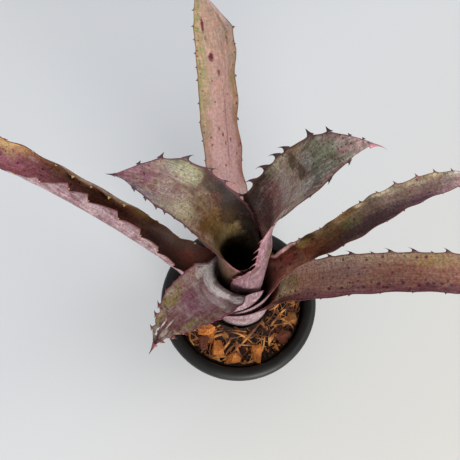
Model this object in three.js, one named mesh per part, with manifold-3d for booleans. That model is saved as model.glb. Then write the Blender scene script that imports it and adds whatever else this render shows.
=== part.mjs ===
// A potted bromeliad: seven spine-edged leaves rolled round a water cup, in a plastic nursery pot
// filled with coconut-husk chips and coir. Millimetres, +Z up, origin at the centre of the pot's foot.
import * as THREE from 'three';
import { LoftGeometry } from 'three/addons/geometries/LoftGeometry.js';
import { mergeVertices } from 'three/addons/utils/BufferGeometryUtils.js';
import Module from 'manifold-3d';

const wasm = await Module();
wasm.setup();

// Pot
const POT_HEIGHT = 95;
const RIM_RADIUS = 55; // outside of the rolled rim
const MOUTH_RADIUS = 46.5; // inside of the rolled rim
const POT_WALL = 1.6;
const FOOT_RADIUS = 38; // outside of the foot
const FLOOR_RAISED = 1.5; // the floor's underside between its centre pad and its foot ring
const PAD_RADIUS = 12; // of the centre pad, which stands as low as the foot ring
const POT_TURNS = 56; // faces round the pot
const DRAIN_HOLES = 6;
const DRAIN_RADIUS = 3.5;
const DRAIN_CIRCLE = 22;

// Growing mix
const MIX_TOP = 87;
const GAP = 0.3; // between pieces that touch
const PLANT_Y = 4; // the plant stands this far behind the pot's axis
const PLANT_HOLE_RADIUS = 25.4;
const PLANT_HOLE_Y = 5;

// Plant
const LEAF_FOOT = 72; // height at which every leaf leaves the stem
const STEM_FOOT = 52;
const HALF_THICKNESS = 0.7; // of a leaf, away from its edges
const SPINE_HEIGHT = 2.8;
const SPINE_BASE = 4.2;
const SHEATH_STEPS = 9;
const ACROSS_STEPS = 8; // strips across a leaf
const WALK_STEP = 1.5;

const DEGREES = Math.PI / 180;

// ---------------------------------------------------------------- materials

function finish(color, roughness) {
  return new THREE.MeshStandardMaterial({ color, roughness, metalness: 0 });
}

const POT_BLACK = finish(0x2b2a28, 0.5);
const COIR_BROWN = finish(0x4a3020, 0.95);
const STEM_TAN = finish(0x8a6a4a, 0.9);
const HUSK_ORANGE = finish(0xa8642c, 0.9);
const FIBRE_TAN = finish(0xa4763f, 0.9);

// ---------------------------------------------------------------- solids

function solidOf(geometry) {
  const bare = geometry.clone();
  bare.deleteAttribute('normal');
  bare.deleteAttribute('uv');
  const merged = mergeVertices(bare, 1e-3);
  const mesh = new wasm.Mesh({
    numProp: 3,
    vertProperties: merged.attributes.position.array,
    triVerts: new Uint32Array(merged.index.array),
  });
  return new wasm.Manifold(mesh);
}

function geometryOf(solid) {
  const mesh = solid.getMesh();
  const geometry = new THREE.BufferGeometry();
  geometry.setAttribute('position', new THREE.BufferAttribute(mesh.vertProperties, 3));
  geometry.setIndex(new THREE.BufferAttribute(mesh.triVerts, 1));
  const flat = geometry.toNonIndexed();
  flat.computeVertexNormals();
  return flat;
}

function piece(name, geometry, material) {
  const mesh = new THREE.Mesh(geometry, material);
  mesh.name = name;
  return mesh;
}

// A closed outline of radius and height, turned about the Z axis.
function turned(outline, turns) {
  const profile = outline.map(([radius, height]) => new THREE.Vector2(radius, height));
  return new THREE.LatheGeometry(profile, turns).rotateX(Math.PI / 2);
}

function uprightCylinder(radius, bottom, top, x, y, turns) {
  const geometry = new THREE.CylinderGeometry(radius, radius, top - bottom, turns);
  return geometry.rotateX(Math.PI / 2).translate(x, y, (top + bottom) / 2);
}

// ---------------------------------------------------------------- pot and growing mix

// Inside radius of the pot's tapering wall at a height.
function insideRadius(height) {
  const bottom = FOOT_RADIUS - POT_WALL;
  return bottom + (MOUTH_RADIUS - bottom) * (height / POT_HEIGHT);
}

function rimArc(centreRadius, centreHeight, halfWidth, halfHeight, from, to, steps) {
  const points = [];
  for (let i = 0; i <= steps; i += 1) {
    const angle = (from + (to - from) * (i / steps)) * DEGREES;
    points.push([centreRadius + halfWidth * Math.cos(angle), centreHeight + halfHeight * Math.sin(angle)]);
  }
  return points;
}

function makePot() {
  const rimMiddle = (RIM_RADIUS + MOUTH_RADIUS) / 2;
  const rimHalf = (RIM_RADIUS - MOUTH_RADIUS) / 2;
  const rimCentre = POT_HEIGHT - 5;
  const floorTop = FLOOR_RAISED + POT_WALL;
  const outline = [
    [0, 0],
    [PAD_RADIUS, 0],
    [PAD_RADIUS + 1, FLOOR_RAISED],
    [FOOT_RADIUS - 5, FLOOR_RAISED],
    [FOOT_RADIUS - 4, 0],
    [FOOT_RADIUS - 0.8, 0],
    [FOOT_RADIUS, 1],
    [insideRadius(rimCentre - 4) + POT_WALL, rimCentre - 4],
    ...rimArc(rimMiddle, rimCentre, rimHalf - POT_WALL, 3.4, 150, 10, 5),
    [RIM_RADIUS - POT_WALL, rimCentre - 4],
    [RIM_RADIUS, rimCentre - 4],
    ...rimArc(rimMiddle, rimCentre, rimHalf, 5, 0, 180, 10),
    [insideRadius(floorTop), floorTop],
    [0, floorTop],
  ];
  let solid = solidOf(turned(outline, POT_TURNS));
  for (let i = 0; i < DRAIN_HOLES; i += 1) {
    const angle = (i / DRAIN_HOLES) * 2 * Math.PI;
    const x = DRAIN_CIRCLE * Math.cos(angle);
    const y = DRAIN_CIRCLE * Math.sin(angle);
    solid = solid.subtract(solidOf(uprightCylinder(DRAIN_RADIUS, -1, floorTop + 1, x, y, 16)));
  }
  return piece('pot', geometryOf(solid), POT_BLACK);
}

function makeMix() {
  const bottom = FLOOR_RAISED + POT_WALL + GAP;
  const outline = [
    [0, bottom],
    [insideRadius(bottom) - GAP, bottom],
    [insideRadius(MIX_TOP) - GAP, MIX_TOP],
    [0, MIX_TOP],
  ];
  const bed = solidOf(turned(outline, POT_TURNS));
  const hole = uprightCylinder(
    PLANT_HOLE_RADIUS, STEM_FOOT - GAP, MIX_TOP + 1, 0, PLANT_HOLE_Y, 40);
  return piece('growing_mix', geometryOf(bed.subtract(solidOf(hole))), COIR_BROWN);
}

// The short stem inside the leaf bases: a blunt cone with a narrow growing point.
function makeStem() {
  const outline = [
    [0, STEM_FOOT],
    [14, STEM_FOOT],
    [20, STEM_FOOT + 5],
    [24, LEAF_FOOT - 4],
    [24, LEAF_FOOT - GAP],
    [5.5, LEAF_FOOT - GAP],
    [4.5, LEAF_FOOT + 5],
    [2.5, LEAF_FOOT + 8],
    [0, LEAF_FOOT + 9],
  ];
  return piece('stem', turned(outline, 28).translate(0, PLANT_Y, 0), STEM_TAN);
}

// ---------------------------------------------------------------- leaves

// A leaf is one strip that rises round the cup as a sheath, then bends out as a blade.
//   azimuth   which way it faces, degrees round from +X
//   radius    of its sheath about the plant's axis
//   collar    length of the sheath; blade: length beyond it
//   lift      angle above level at the collar, half way and at the tip
//   sweep     how far the blade has turned sideways half way and at the tip
//   roll      how far the blade has rolled about its midrib half way and at the tip
//   width     half the width at the collar; swell: how much wider or narrower it gets half way
//   point     how late the left and right halves taper; high is blunt
//   wrap      how far round the cup the sheath's left and right edges reach, degrees
//   shoulder  share of the sheath over which it opens out to that wrap
//   flare     how late the sheath leans out towards the collar; high is sudden
//   channel   half the angle that the section curls through, half way and at the tip
//   spines    how many each margin has
//   trim      how the left and right margins wander: place along the blade, share of the usual width
const LEAVES = [
  {
    name: 'leaf_upper_left', color: 0x8a7364, azimuth: 148, radius: 11.6, collar: 131, blade: 72,
    lift: [89, 43, 15], sweep: [17, 33], roll: [-11, 20], width: 17.5, swell: -0.1, point: [2.6, 4.2],
    wrap: [136, 124], shoulder: 0.14, flare: 3, channel: [34, 14], spines: 5,
    trim: [
      [[0.75, 1], [0.9, 0.8], [1, 0.5]],
      [[0.1, 1.1], [0.35, 0.95], [0.5, 1], [0.75, 0.92], [0.9, 0.7]],
    ],
  },
  {
    name: 'leaf_upper_right', color: 0x756a66, azimuth: 26, radius: 14, collar: 134, blade: 82,
    lift: [89, 63, 17], sweep: [-6, -12], roll: [-27, 37], width: 17.8, swell: 0.12, point: [4.5, 1.2],
    wrap: [80, 140], shoulder: 0.25, flare: 3, channel: [38, 14], spines: 6,
    trim: [
      [[0.85, 1], [1, 0.7]],
      [[0.2, 1], [0.6, 1.1], [0.75, 0.88], [0.9, 0.5]],
    ],
  },
  {
    name: 'leaf_lower_left', color: 0x7b6669, azimuth: 229, radius: 16.8, collar: 97, blade: 62,
    lift: [60, 46, -2], sweep: [1, 8], roll: [-9, 6], width: 18, swell: 0.06, point: [1.9, 2],
    wrap: [110, 110], shoulder: 0.5, flare: 12, channel: [32, 15], spines: 6,
    trim: [
      [[0.75, 1], [0.9, 0.75], [1, 0.4]],
      [[0.35, 1], [0.63, 1.07], [0.8, 1], [0.9, 1.15]],
    ],
  },
  {
    name: 'leaf_right_back', color: 0x5c4438, azimuth: 10, radius: 19.4, collar: 74, blade: 141,
    lift: [72, 19, -21], sweep: [15, -4], roll: [4, 0], width: 8.8, swell: 0, point: [4.4, 3.7],
    wrap: [60, 120], shoulder: 0.6, flare: 3, channel: [38, 18], spines: 11,
    trim: [
      [[0.12, 1], [0.3, 0.7], [0.5, 0.9], [0.9, 0.9]],
      [[0, 1], [0.12, 0.76], [0.2, 0.8], [0.4, 1.2], [0.7, 1.1], [0.85, 1.25]],
    ],
  },
  {
    name: 'leaf_right', color: 0x7a6050, azimuth: -9, radius: 22, collar: 58, blade: 160,
    lift: [68, 17, -19], sweep: [6, 2], roll: [-2, 8], width: 13.6, swell: -0.12, point: [5, 4.8],
    wrap: [60, 115], shoulder: 0.6, flare: 3, channel: [27, 14], spines: 11,
    trim: [
      [[0.2, 0.97], [0.5, 1.03]],
      [[0.2, 1], [0.5, 0.9], [0.7, 1]],
    ],
  },
  {
    name: 'leaf_back', color: 0xb08c84, azimuth: 99, radius: 24.4, collar: 75, blade: 158,
    lift: [76, 29, -8], sweep: [-3, 11], roll: [-30, 24], width: 13.4, swell: 0, point: [5, 5.6],
    wrap: [42, 42], shoulder: 0.6, flare: 3, channel: [47, 15], spines: 12,
    trim: [
      [[0.3, 0.95], [0.5, 1.05]],
      [[0.3, 0.96], [0.5, 0.83], [0.65, 0.95], [0.76, 1.15], [0.84, 0.9], [0.95, 0.55]],
    ],
  },
  {
    name: 'leaf_left', color: 0x6a4a44, azimuth: 169, radius: 22, collar: 57, blade: 197,
    lift: [70, 20, -17], sweep: [-14, -3], roll: [23, -1], width: 13.3, swell: 0.38, point: [5.3, 5.2],
    wrap: [60, 50], shoulder: 0.6, flare: 3, channel: [109, 39], spines: 13,
    trim: [
      [[0.1, 0.95], [0.2, 0.88], [0.4, 0.95], [0.52, 0.9], [0.65, 0.55], [0.75, 0.55], [0.9, 0.95]],
      [[0.1, 1], [0.2, 0.73], [0.35, 0.95]],
    ],
  },
  {
    name: 'leaf_heart', color: 0x9a6a62, azimuth: -80, radius: 7.6, collar: 104, blade: 14,
    lift: [90, 80, 70], sweep: [0, 0], roll: [0, 0], width: 6.5, swell: 0, point: [2, 2],
    wrap: [110, 110], shoulder: 0.6, flare: 3, channel: [40, 30], spines: 0,
    trim: [
      [[0, 1]],
      [[0, 1]],
    ],
  },
];

// The smooth curve that passes through three values at t = 0, a half and 1.
function through([first, middle, last], t) {
  return first * (1 - t) * (1 - 2 * t) + 4 * middle * t * (1 - t) + last * t * (2 * t - 1);
}

// The midrib's direction at a distance from the foot, with the leaf's own side and upper directions.
function directionsAt(leaf, distance) {
  const alongBlade = Math.max(0, (distance - leaf.collar) / leaf.blade);
  const alongSheath = Math.min(1, distance / leaf.collar);
  const lift = distance < leaf.collar
    ? 90 + (leaf.lift[0] - 90) * alongSheath ** leaf.flare
    : through(leaf.lift, alongBlade);
  const bearing = leaf.azimuth + through([0, ...leaf.sweep], alongBlade);
  const roll = through([0, ...leaf.roll], alongBlade) * DEGREES;
  const outward = new THREE.Vector3(Math.cos(bearing * DEGREES), Math.sin(bearing * DEGREES), 0);
  const forward = outward.clone().multiplyScalar(Math.cos(lift * DEGREES));
  forward.z = Math.sin(lift * DEGREES);
  const side = new THREE.Vector3(-outward.y, outward.x, 0).applyAxisAngle(forward, roll);
  const upper = new THREE.Vector3().crossVectors(forward, side);
  return { forward, side, upper, alongBlade, alongSheath };
}

// The share of a margin's usual width at a place along the blade.
function shareAt(trim, place) {
  const after = trim.findIndex(([where]) => where > place);
  if (after === 0) return trim[0][1];
  if (after < 0) return trim[trim.length - 1][1];
  const [from, share] = trim[after - 1];
  const [to, nextShare] = trim[after];
  return share + (nextShare - share) * ((place - from) / (to - from));
}

// The section at a place: curve radius, and the angles that its left and right edges reach.
function sectionAt(leaf, place, distance) {
  const atCollar = leaf.width / leaf.radius;
  if (distance < leaf.collar) {
    const opening = Math.min(1, (1 - place.alongSheath) / leaf.shoulder);
    const ramp = Math.sin(opening * Math.PI / 2);
    const [left, right] = leaf.wrap.map((wrap) => atCollar + (wrap * DEGREES - atCollar) * ramp);
    return { radius: leaf.radius, left, right };
  }
  const t = place.alongBlade;
  const curl = Math.max(0.05, through([atCollar, leaf.channel[0] * DEGREES, leaf.channel[1] * DEGREES], t));
  const body = 1 + leaf.swell * Math.sin(Math.PI * t);
  const [left, right] = leaf.point.map((late, i) => (
    curl * body * shareAt(leaf.trim[i], t) * Math.max(0.04, 1 - t ** late) ** 0.9));
  return { radius: leaf.width / curl, left, right };
}

// Distances from the foot at which the leaf has a section, and how tall its spines are there.
function stationsOf(leaf) {
  const list = [];
  for (let i = 0; i < SHEATH_STEPS; i += 1) {
    list.push({ distance: (leaf.collar * i) / SHEATH_STEPS, spine: 0 });
  }
  const blades = Math.max(leaf.spines, 3);
  const pitch = leaf.blade / blades;
  const base = Math.min(SPINE_BASE, pitch / 2);
  for (let i = 0; i < blades; i += 1) {
    const start = leaf.collar + i * pitch;
    list.push({ distance: start, spine: 0 });
    if (leaf.spines > 0) {
      list.push({ distance: start + base * 0.6, spine: SPINE_HEIGHT });
      list.push({ distance: start + base, spine: 0 });
    }
  }
  list.push({ distance: leaf.collar + leaf.blade, spine: 0 });
  return list;
}

// One closed ring of points: across the upper face from the right edge, and back under it.
function ringAt(leaf, centre, place, section, spine) {
  const upperFace = [];
  const lowerFace = [];
  for (let i = 0; i <= ACROSS_STEPS; i += 1) {
    const across = (2 * i) / ACROSS_STEPS - 1;
    const angle = across * (across > 0 ? section.left : section.right);
    const outwards = new THREE.Vector3()
      .addScaledVector(place.side, Math.sin(angle))
      .addScaledVector(place.upper, -Math.cos(angle));
    const point = centre.clone()
      .addScaledVector(place.upper, section.radius)
      .addScaledVector(outwards, section.radius);
    if (Math.abs(across) === 1) {
      const edgeways = new THREE.Vector3()
        .addScaledVector(place.side, Math.cos(angle) * across)
        .addScaledVector(place.upper, Math.sin(angle) * across);
      upperFace.push(point.addScaledVector(edgeways, spine));
    } else {
      upperFace.push(point.clone().addScaledVector(outwards, -HALF_THICKNESS));
      lowerFace.push(point.clone().addScaledVector(outwards, HALF_THICKNESS));
    }
  }
  return [...upperFace.reverse(), ...lowerFace];
}

function makeLeaf(leaf) {
  const outward = new THREE.Vector3(Math.cos(leaf.azimuth * DEGREES), Math.sin(leaf.azimuth * DEGREES), 0);
  const centre = outward.multiplyScalar(leaf.radius).add(new THREE.Vector3(0, PLANT_Y, LEAF_FOOT));
  const rings = [];
  let walked = 0;
  for (const { distance, spine } of stationsOf(leaf)) {
    while (distance - walked > 1e-6) {
      const step = Math.min(WALK_STEP, distance - walked);
      centre.addScaledVector(directionsAt(leaf, walked + step / 2).forward, step);
      walked += step;
    }
    const place = directionsAt(leaf, distance);
    rings.push(ringAt(leaf, centre, place, sectionAt(leaf, place, distance), spine));
  }
  const geometry = new LoftGeometry(rings, { capStart: true, capEnd: true });
  return piece(leaf.name, geometry, finish(leaf.color, 0.55));
}

// ---------------------------------------------------------------- husk chips and fibres on the mix

// Where each chip lies: middle x and y, length, width, thickness, and the way it points.
const CHIPS = [
  { x: -22, y: -20, length: 15, width: 8, height: 4, turn: 25 },
  { x: -24, y: -30, length: 10, width: 7, height: 4, turn: 120 },
  { x: -13, y: -33, length: 11, width: 7, height: 4, turn: 60 },
  { x: -4, y: -40, length: 12, width: 7, height: 4, turn: 10 },
  { x: 13, y: -37, length: 12, width: 8, height: 4, turn: 75 },
  { x: 31, y: -26, length: 11, width: 8, height: 4, turn: 140 },
  { x: 38, y: -12, length: 10, width: 6, height: 4, turn: 95 },
  { x: 36, y: 10, length: 12, width: 7, height: 4, turn: 70 },
  { x: 27, y: 30, length: 13, width: 7, height: 4, turn: 130 },
  { x: 4, y: 39, length: 12, width: 7, height: 4, turn: 170 },
  { x: -20, y: 35, length: 13, width: 7, height: 4, turn: 35 },
  { x: -35, y: 20, length: 11, width: 7, height: 4, turn: 100 },
  { x: -38, y: 1, length: 12, width: 7, height: 4, turn: 85 },
  { x: -37, y: -14, length: 9, width: 6, height: 4, turn: 50 },
];

const CHIP_CORNERS = [[-0.5, -0.25], [-0.2, -0.5], [0.35, -0.4], [0.5, 0.1], [0.15, 0.5], [-0.4, 0.4]];

function makeChip(chip, index) {
  const corners = CHIP_CORNERS.map(([x, y]) => new THREE.Vector2(x * chip.length, y * chip.width));
  const bevel = 0.8;
  const geometry = new THREE.ExtrudeGeometry(new THREE.Shape(corners), {
    depth: chip.height - 2 * bevel,
    bevelThickness: bevel,
    bevelSize: bevel,
    bevelOffset: -bevel,
    bevelSegments: 1,
  });
  const mesh = piece(`husk_chip_${index + 1}`, geometry.translate(0, 0, bevel), HUSK_ORANGE);
  mesh.position.set(chip.x, chip.y, MIX_TOP + GAP);
  mesh.rotation.z = chip.turn * DEGREES;
  return mesh;
}

// Loose coir fibres: both ends and how far the middle bows sideways.
const FIBRES = [
  { from: [-9, -24], to: [4, -39], bow: 3 },
  { from: [9, -22], to: [6, -38], bow: -2 },
  { from: [16, -20], to: [24, -32], bow: 3 },
  { from: [22, -17], to: [30, -18], bow: 4 },
  { from: [-31, 8], to: [-24, 26], bow: 3 },
  { from: [13, 33], to: [21, 38], bow: -2 },
];
const FIBRE_RADIUS = 0.6;

function makeFibre(fibre, index) {
  const height = MIX_TOP + GAP + FIBRE_RADIUS;
  const from = new THREE.Vector3(...fibre.from, height);
  const to = new THREE.Vector3(...fibre.to, height);
  const along = to.clone().sub(from).normalize();
  const middle = from.clone().add(to).multiplyScalar(0.5);
  middle.x -= along.y * fibre.bow;
  middle.y += along.x * fibre.bow;
  const section = new THREE.Shape();
  section.absarc(0, 0, FIBRE_RADIUS, 0, 2 * Math.PI);
  const geometry = new THREE.ExtrudeGeometry(section, {
    curveSegments: 3,
    steps: 6,
    extrudePath: new THREE.CatmullRomCurve3([from, middle, to]),
  });
  return piece(`coir_fibre_${index + 1}`, geometry, FIBRE_TAN);
}

// ---------------------------------------------------------------- the whole

const plant = new THREE.Group();
plant.add(makeStem(), ...LEAVES.map(makeLeaf));

const holder = new THREE.Group();
holder.add(makePot(), makeMix(), ...CHIPS.map(makeChip), ...FIBRES.map(makeFibre));

const root = new THREE.Group();
root.add(holder, plant);

export default root;
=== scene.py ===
# The looks of a potted bromeliad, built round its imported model. Metres, +Z up, front towards -Y.
import math
import random

import bmesh
import bpy
import numpy as np
from mathutils import Matrix, Vector, noise


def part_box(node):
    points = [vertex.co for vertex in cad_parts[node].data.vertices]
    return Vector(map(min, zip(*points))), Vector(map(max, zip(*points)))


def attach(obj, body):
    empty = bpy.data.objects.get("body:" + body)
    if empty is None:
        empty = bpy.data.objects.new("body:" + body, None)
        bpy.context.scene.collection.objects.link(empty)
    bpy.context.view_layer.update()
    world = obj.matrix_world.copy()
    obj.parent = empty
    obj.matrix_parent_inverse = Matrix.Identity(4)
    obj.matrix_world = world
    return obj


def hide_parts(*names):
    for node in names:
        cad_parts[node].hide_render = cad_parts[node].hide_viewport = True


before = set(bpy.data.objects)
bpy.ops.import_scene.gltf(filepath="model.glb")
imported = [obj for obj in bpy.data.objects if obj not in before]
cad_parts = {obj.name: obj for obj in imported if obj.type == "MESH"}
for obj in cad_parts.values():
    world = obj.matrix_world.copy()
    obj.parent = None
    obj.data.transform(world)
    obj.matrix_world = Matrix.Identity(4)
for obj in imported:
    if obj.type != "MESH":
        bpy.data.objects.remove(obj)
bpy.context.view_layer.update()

MM = 0.001
noise.seed_set(7)  # noise_vector shifts by a random offset in each run unless it is seeded

# ------------------------------------------------------------------ places taken from the frame

pot_low, pot_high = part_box("pot")
mix_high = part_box("growing_mix")[1]
stem_low, stem_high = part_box("stem")
RIM_RADIUS = (pot_high.x - pot_low.x) / 2
MIX_TOP = mix_high.z
PLANT = Vector(((stem_low.x + stem_high.x) / 2, (stem_low.y + stem_high.y) / 2, 0))
LEAF_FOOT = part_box("leaf_heart")[0].z

# ------------------------------------------------------------------ small helpers


def rgb(red, green, blue):
    """A display colour, 0 to 255, as the linear colour that shaders take."""
    parts = [value / 255 for value in (red, green, blue)]
    linear = [p / 12.92 if p <= 0.04045 else ((p + 0.055) / 1.055) ** 2.4 for p in parts]
    return (*linear, 1.0)


def node(tree, kind, inputs=None, **settings):
    """A shader node with its settings made and its inputs set or linked."""
    made = tree.nodes.new("ShaderNode" + kind)
    for key, value in settings.items():
        setattr(made, key, value)
    for key, value in (inputs or {}).items():
        if isinstance(value, bpy.types.NodeSocket):
            tree.links.new(value, made.inputs[key])
        else:
            made.inputs[key].default_value = value
    return made


def use_group(tree, group, inputs):
    return node(tree, "Group", inputs, node_tree=group)


def calc(tree, operation, a, b=0.0, c=0.0):
    return node(tree, "Math", {0: a, 1: b, 2: c}, operation=operation).outputs[0]


def times(tree, a, b):
    return calc(tree, "MULTIPLY", a, b)


def plus(tree, a, b):
    return calc(tree, "ADD", a, b)


def scale_add(tree, value, scale, added):
    return calc(tree, "MULTIPLY_ADD", value, scale, added)


def vector_calc(tree, operation, inputs, output=0):
    return node(tree, "VectorMath", inputs, operation=operation).outputs[output]


def fade(tree, value, start, end, low=0.0, high=1.0):
    """Goes smoothly from low to high as value goes from start to end."""
    inputs = {"Value": value, "From Min": start, "From Max": end, "To Min": low, "To Max": high}
    return node(tree, "MapRange", inputs, interpolation_type="SMOOTHSTEP").outputs[0]


def mix(tree, factor, first, second, blend="MIX"):
    made = node(tree, "Mix", {0: factor, 6: first, 7: second}, data_type="RGBA", blend_type=blend)
    return made.outputs[2]


def gradient(tree, value, stops):
    """A colour ramp through (position, colour) stops."""
    ramp = node(tree, "ValToRGB", {0: value})
    elements = ramp.color_ramp.elements
    while len(elements) < len(stops):
        elements.new(0.5)
    for element, (position, colour) in zip(elements, stops):
        element.position = position
        element.color = colour
    return ramp.outputs[0]


def stretch(tree, vector, scale, location=(0, 0, 0)):
    return node(tree, "Mapping", {"Vector": vector, "Scale": scale, "Location": location}).outputs[0]


def cloud(tree, vector, scale, detail=3.0, roughness=0.55, distortion=0.0):
    inputs = {"Vector": vector, "Scale": scale, "Detail": detail, "Roughness": roughness}
    return node(tree, "TexNoise", {**inputs, "Distortion": distortion}).outputs[0]


def new_group(name, inputs, outputs):
    """An empty shader node group with its sockets; returns the tree and its two end nodes."""
    tree = bpy.data.node_groups.new(name, "ShaderNodeTree")
    for in_out, sockets in (("INPUT", inputs), ("OUTPUT", outputs)):
        for socket_name, kind, default in sockets:
            socket = tree.interface.new_socket(socket_name, in_out=in_out,
                                               socket_type="NodeSocket" + kind)
            if default is not None:
                socket.default_value = default
    return tree, tree.nodes.new("NodeGroupInput"), tree.nodes.new("NodeGroupOutput")


def new_material(name):
    material = bpy.data.materials.new(name)
    material.use_nodes = True
    tree = material.node_tree
    return material, tree, tree.nodes["Principled BSDF"]


def finish_shader(tree, shader, colour, roughness, height, bump_depth, bump_strength):
    tree.links.new(colour, shader.inputs["Base Color"])
    tree.links.new(roughness, shader.inputs["Roughness"])
    inputs = {"Height": height, "Distance": bump_depth, "Strength": bump_strength}
    tree.links.new(node(tree, "Bump", inputs).outputs[0], shader.inputs["Normal"])


def add_object(name, data):
    """An object for a mesh, curve, lamp or camera, linked into the scene."""
    made = bpy.data.objects.new(name, data)
    bpy.context.scene.collection.objects.link(made)
    return made


def mesh_from(bm, name):
    """The mesh that has been built up in bm, which is freed."""
    mesh = bpy.data.meshes.new(name)
    bm.to_mesh(mesh)
    bm.free()
    return mesh


def applied_mesh(holder):
    """A new mesh of an object with its modifiers applied."""
    depsgraph = bpy.context.evaluated_depsgraph_get()
    return bpy.data.meshes.new_from_object(holder.evaluated_get(depsgraph))


def link_piece(name, mesh, materials, replaced, smooth=True):
    """A finished mesh as a piece that rides on the model."""
    for material in materials:
        mesh.materials.append(material)
    for polygon in mesh.polygons:
        polygon.use_smooth = smooth
    piece = add_object(name, mesh)
    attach(piece, "root")
    if replaced:
        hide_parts(*replaced)


def through(values, t):
    """The smooth curve that passes through three values at t = 0, a half and 1."""
    first, middle, last = values
    return first * (1 - t) * (1 - 2 * t) + 4 * middle * t * (1 - t) + last * t * (2 * t - 1)


# ------------------------------------------------------------------ shader groups


def make_dots_group():
    """Small round dots, in a share of the cells of a loose grid."""
    tree, given, made = new_group(
        "skin_dots",
        [("Vector", "Vector", None), ("Scale", "Float", 250.0), ("Share", "Float", 0.5),
         ("Size", "Float", 0.15)],
        [("Mask", "Float", None)])
    inputs = {key: given.outputs[key] for key in ("Vector", "Scale")}
    cells = node(tree, "TexVoronoi", inputs, voronoi_dimensions="2D")
    pick = node(tree, "SeparateColor", {0: cells.outputs["Color"]})
    chosen = calc(tree, "LESS_THAN", pick.outputs[0], given.outputs["Share"])
    size = times(tree, given.outputs["Size"], plus(tree, pick.outputs[1], 0.5))
    inner = times(tree, size, 0.7)
    dot = fade(tree, cells.outputs["Distance"], inner, size, 1.0, 0.0)
    tree.links.new(times(tree, chosen, dot), made.inputs["Mask"])
    return tree


def make_fields_group():
    """The uneven fields that every leaf skin is built from, from slow wandering to fine grain."""
    tree, given, made = new_group(
        "skin_fields", [("Vector", "Vector", None)],
        [(name, "Float", None) for name in ("Wander", "Mottle", "Hue", "Streak", "Fine", "Lines",
                                        "Specks", "Bands")])
    skin = given.outputs["Vector"]
    fields = {
        "Wander": scale_add(tree, cloud(tree, skin, 80.0, 3.0, 0.6), 1.0, -0.5),
        "Mottle": cloud(tree, skin, 230.0, 5.0, 0.68, 0.4),
        "Hue": cloud(tree, skin, 420.0, 4.0, 0.65, 0.3),
        "Streak": cloud(tree, stretch(tree, skin, (650.0, 110.0, 1.0)), 1.0, 4.0, 0.6, 0.3),
        "Fine": cloud(tree, skin, 620.0, 5.0, 0.75),
        "Lines": cloud(tree, stretch(tree, skin, (1700.0, 60.0, 1.0)), 1.0, 3.0, 0.6),
        "Specks": fade(tree, cloud(tree, stretch(tree, skin, (1300.0, 700.0, 1.0)), 1.0, 3.0, 0.7),
                       0.48, 0.58),
        "Bands": fade(tree, cloud(tree, stretch(tree, skin, (220.0, 1300.0, 1.0)), 1.0, 4.0, 0.7),
                      0.42, 0.6),
    }
    for name, value in fields.items():
        tree.links.new(value, made.inputs[name])
    return tree


def make_dab_group():
    """A soft oval patch with a ragged edge, at a place on the leaf."""
    tree, given, made = new_group(
        "placed_patch",
        [("Place", "Vector", None), ("Centre", "Vector", None), ("Size", "Vector", (1, 1, 1)),
         ("Ragged", "Float", 0.5)],
        [("Mask", "Float", None)])
    offset = vector_calc(tree, "SUBTRACT", {0: given.outputs["Place"], 1: given.outputs["Centre"]})
    scaled = vector_calc(tree, "DIVIDE", {0: offset, 1: given.outputs["Size"]})
    reach = vector_calc(tree, "LENGTH", {0: scaled}, "Value")
    ragged = scale_add(tree, calc(tree, "SUBTRACT", given.outputs["Ragged"], 0.5), 2.2, reach)
    tree.links.new(fade(tree, ragged, 0.5, 1.1, 1.0, 0.0), made.inputs["Mask"])
    return tree


def make_veins_group():
    """Fine raised lines that run the length of a husk fibre."""
    tree, given, made = new_group(
        "length_lines",
        [("Vector", "Vector", None), ("Across", "Float", 1600.0), ("Along", "Float", 60.0)],
        [("Height", "Float", None)])
    scale = node(tree, "CombineXYZ", {0: given.outputs["Across"], 1: given.outputs["Along"],
                                      2: given.outputs["Across"]})
    stretched = vector_calc(tree, "MULTIPLY", {0: given.outputs["Vector"], 1: scale.outputs[0]})
    tree.links.new(cloud(tree, stretched, 1.0, 3.0, 0.6), made.inputs["Height"])
    return tree


DOTS = make_dots_group()
FIELDS = make_fields_group()
DAB = make_dab_group()
LINES = make_veins_group()

# ------------------------------------------------------------------ leaf finishes

# Colours of the leaf tissue, and a near black that is painted shade.
SAGE = rgb(146, 144, 108)
SILVER = rgb(212, 206, 190)
PLUM = rgb(124, 78, 92)
DARK_PLUM = rgb(78, 42, 50)
ROSE = rgb(186, 132, 132)
UMBER = rgb(56, 32, 22)
# Painted shade: the black of the deep cup between the sheaths, and of the slits under a rolled margin.
PAINTED_SHADE_BLACK = rgb(20, 14, 9)
MAGENTA_SPOT = rgb(96, 30, 52)
DARK_SPOT = rgb(66, 28, 36)
LEAF_SHINE, POT_SHINE = 0.14, 0.26  # specular levels: a matt leaf, smooth plastic


def tone_along(tree, along, stops):
    """A colour along the leaf; stops go from -1 at the foot through 0 at the collar to 1 at the tip."""
    position = scale_add(tree, along, 0.5, 0.5)
    return gradient(tree, position, [((stop + 1) / 2, colour) for stop, colour in stops])


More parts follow.
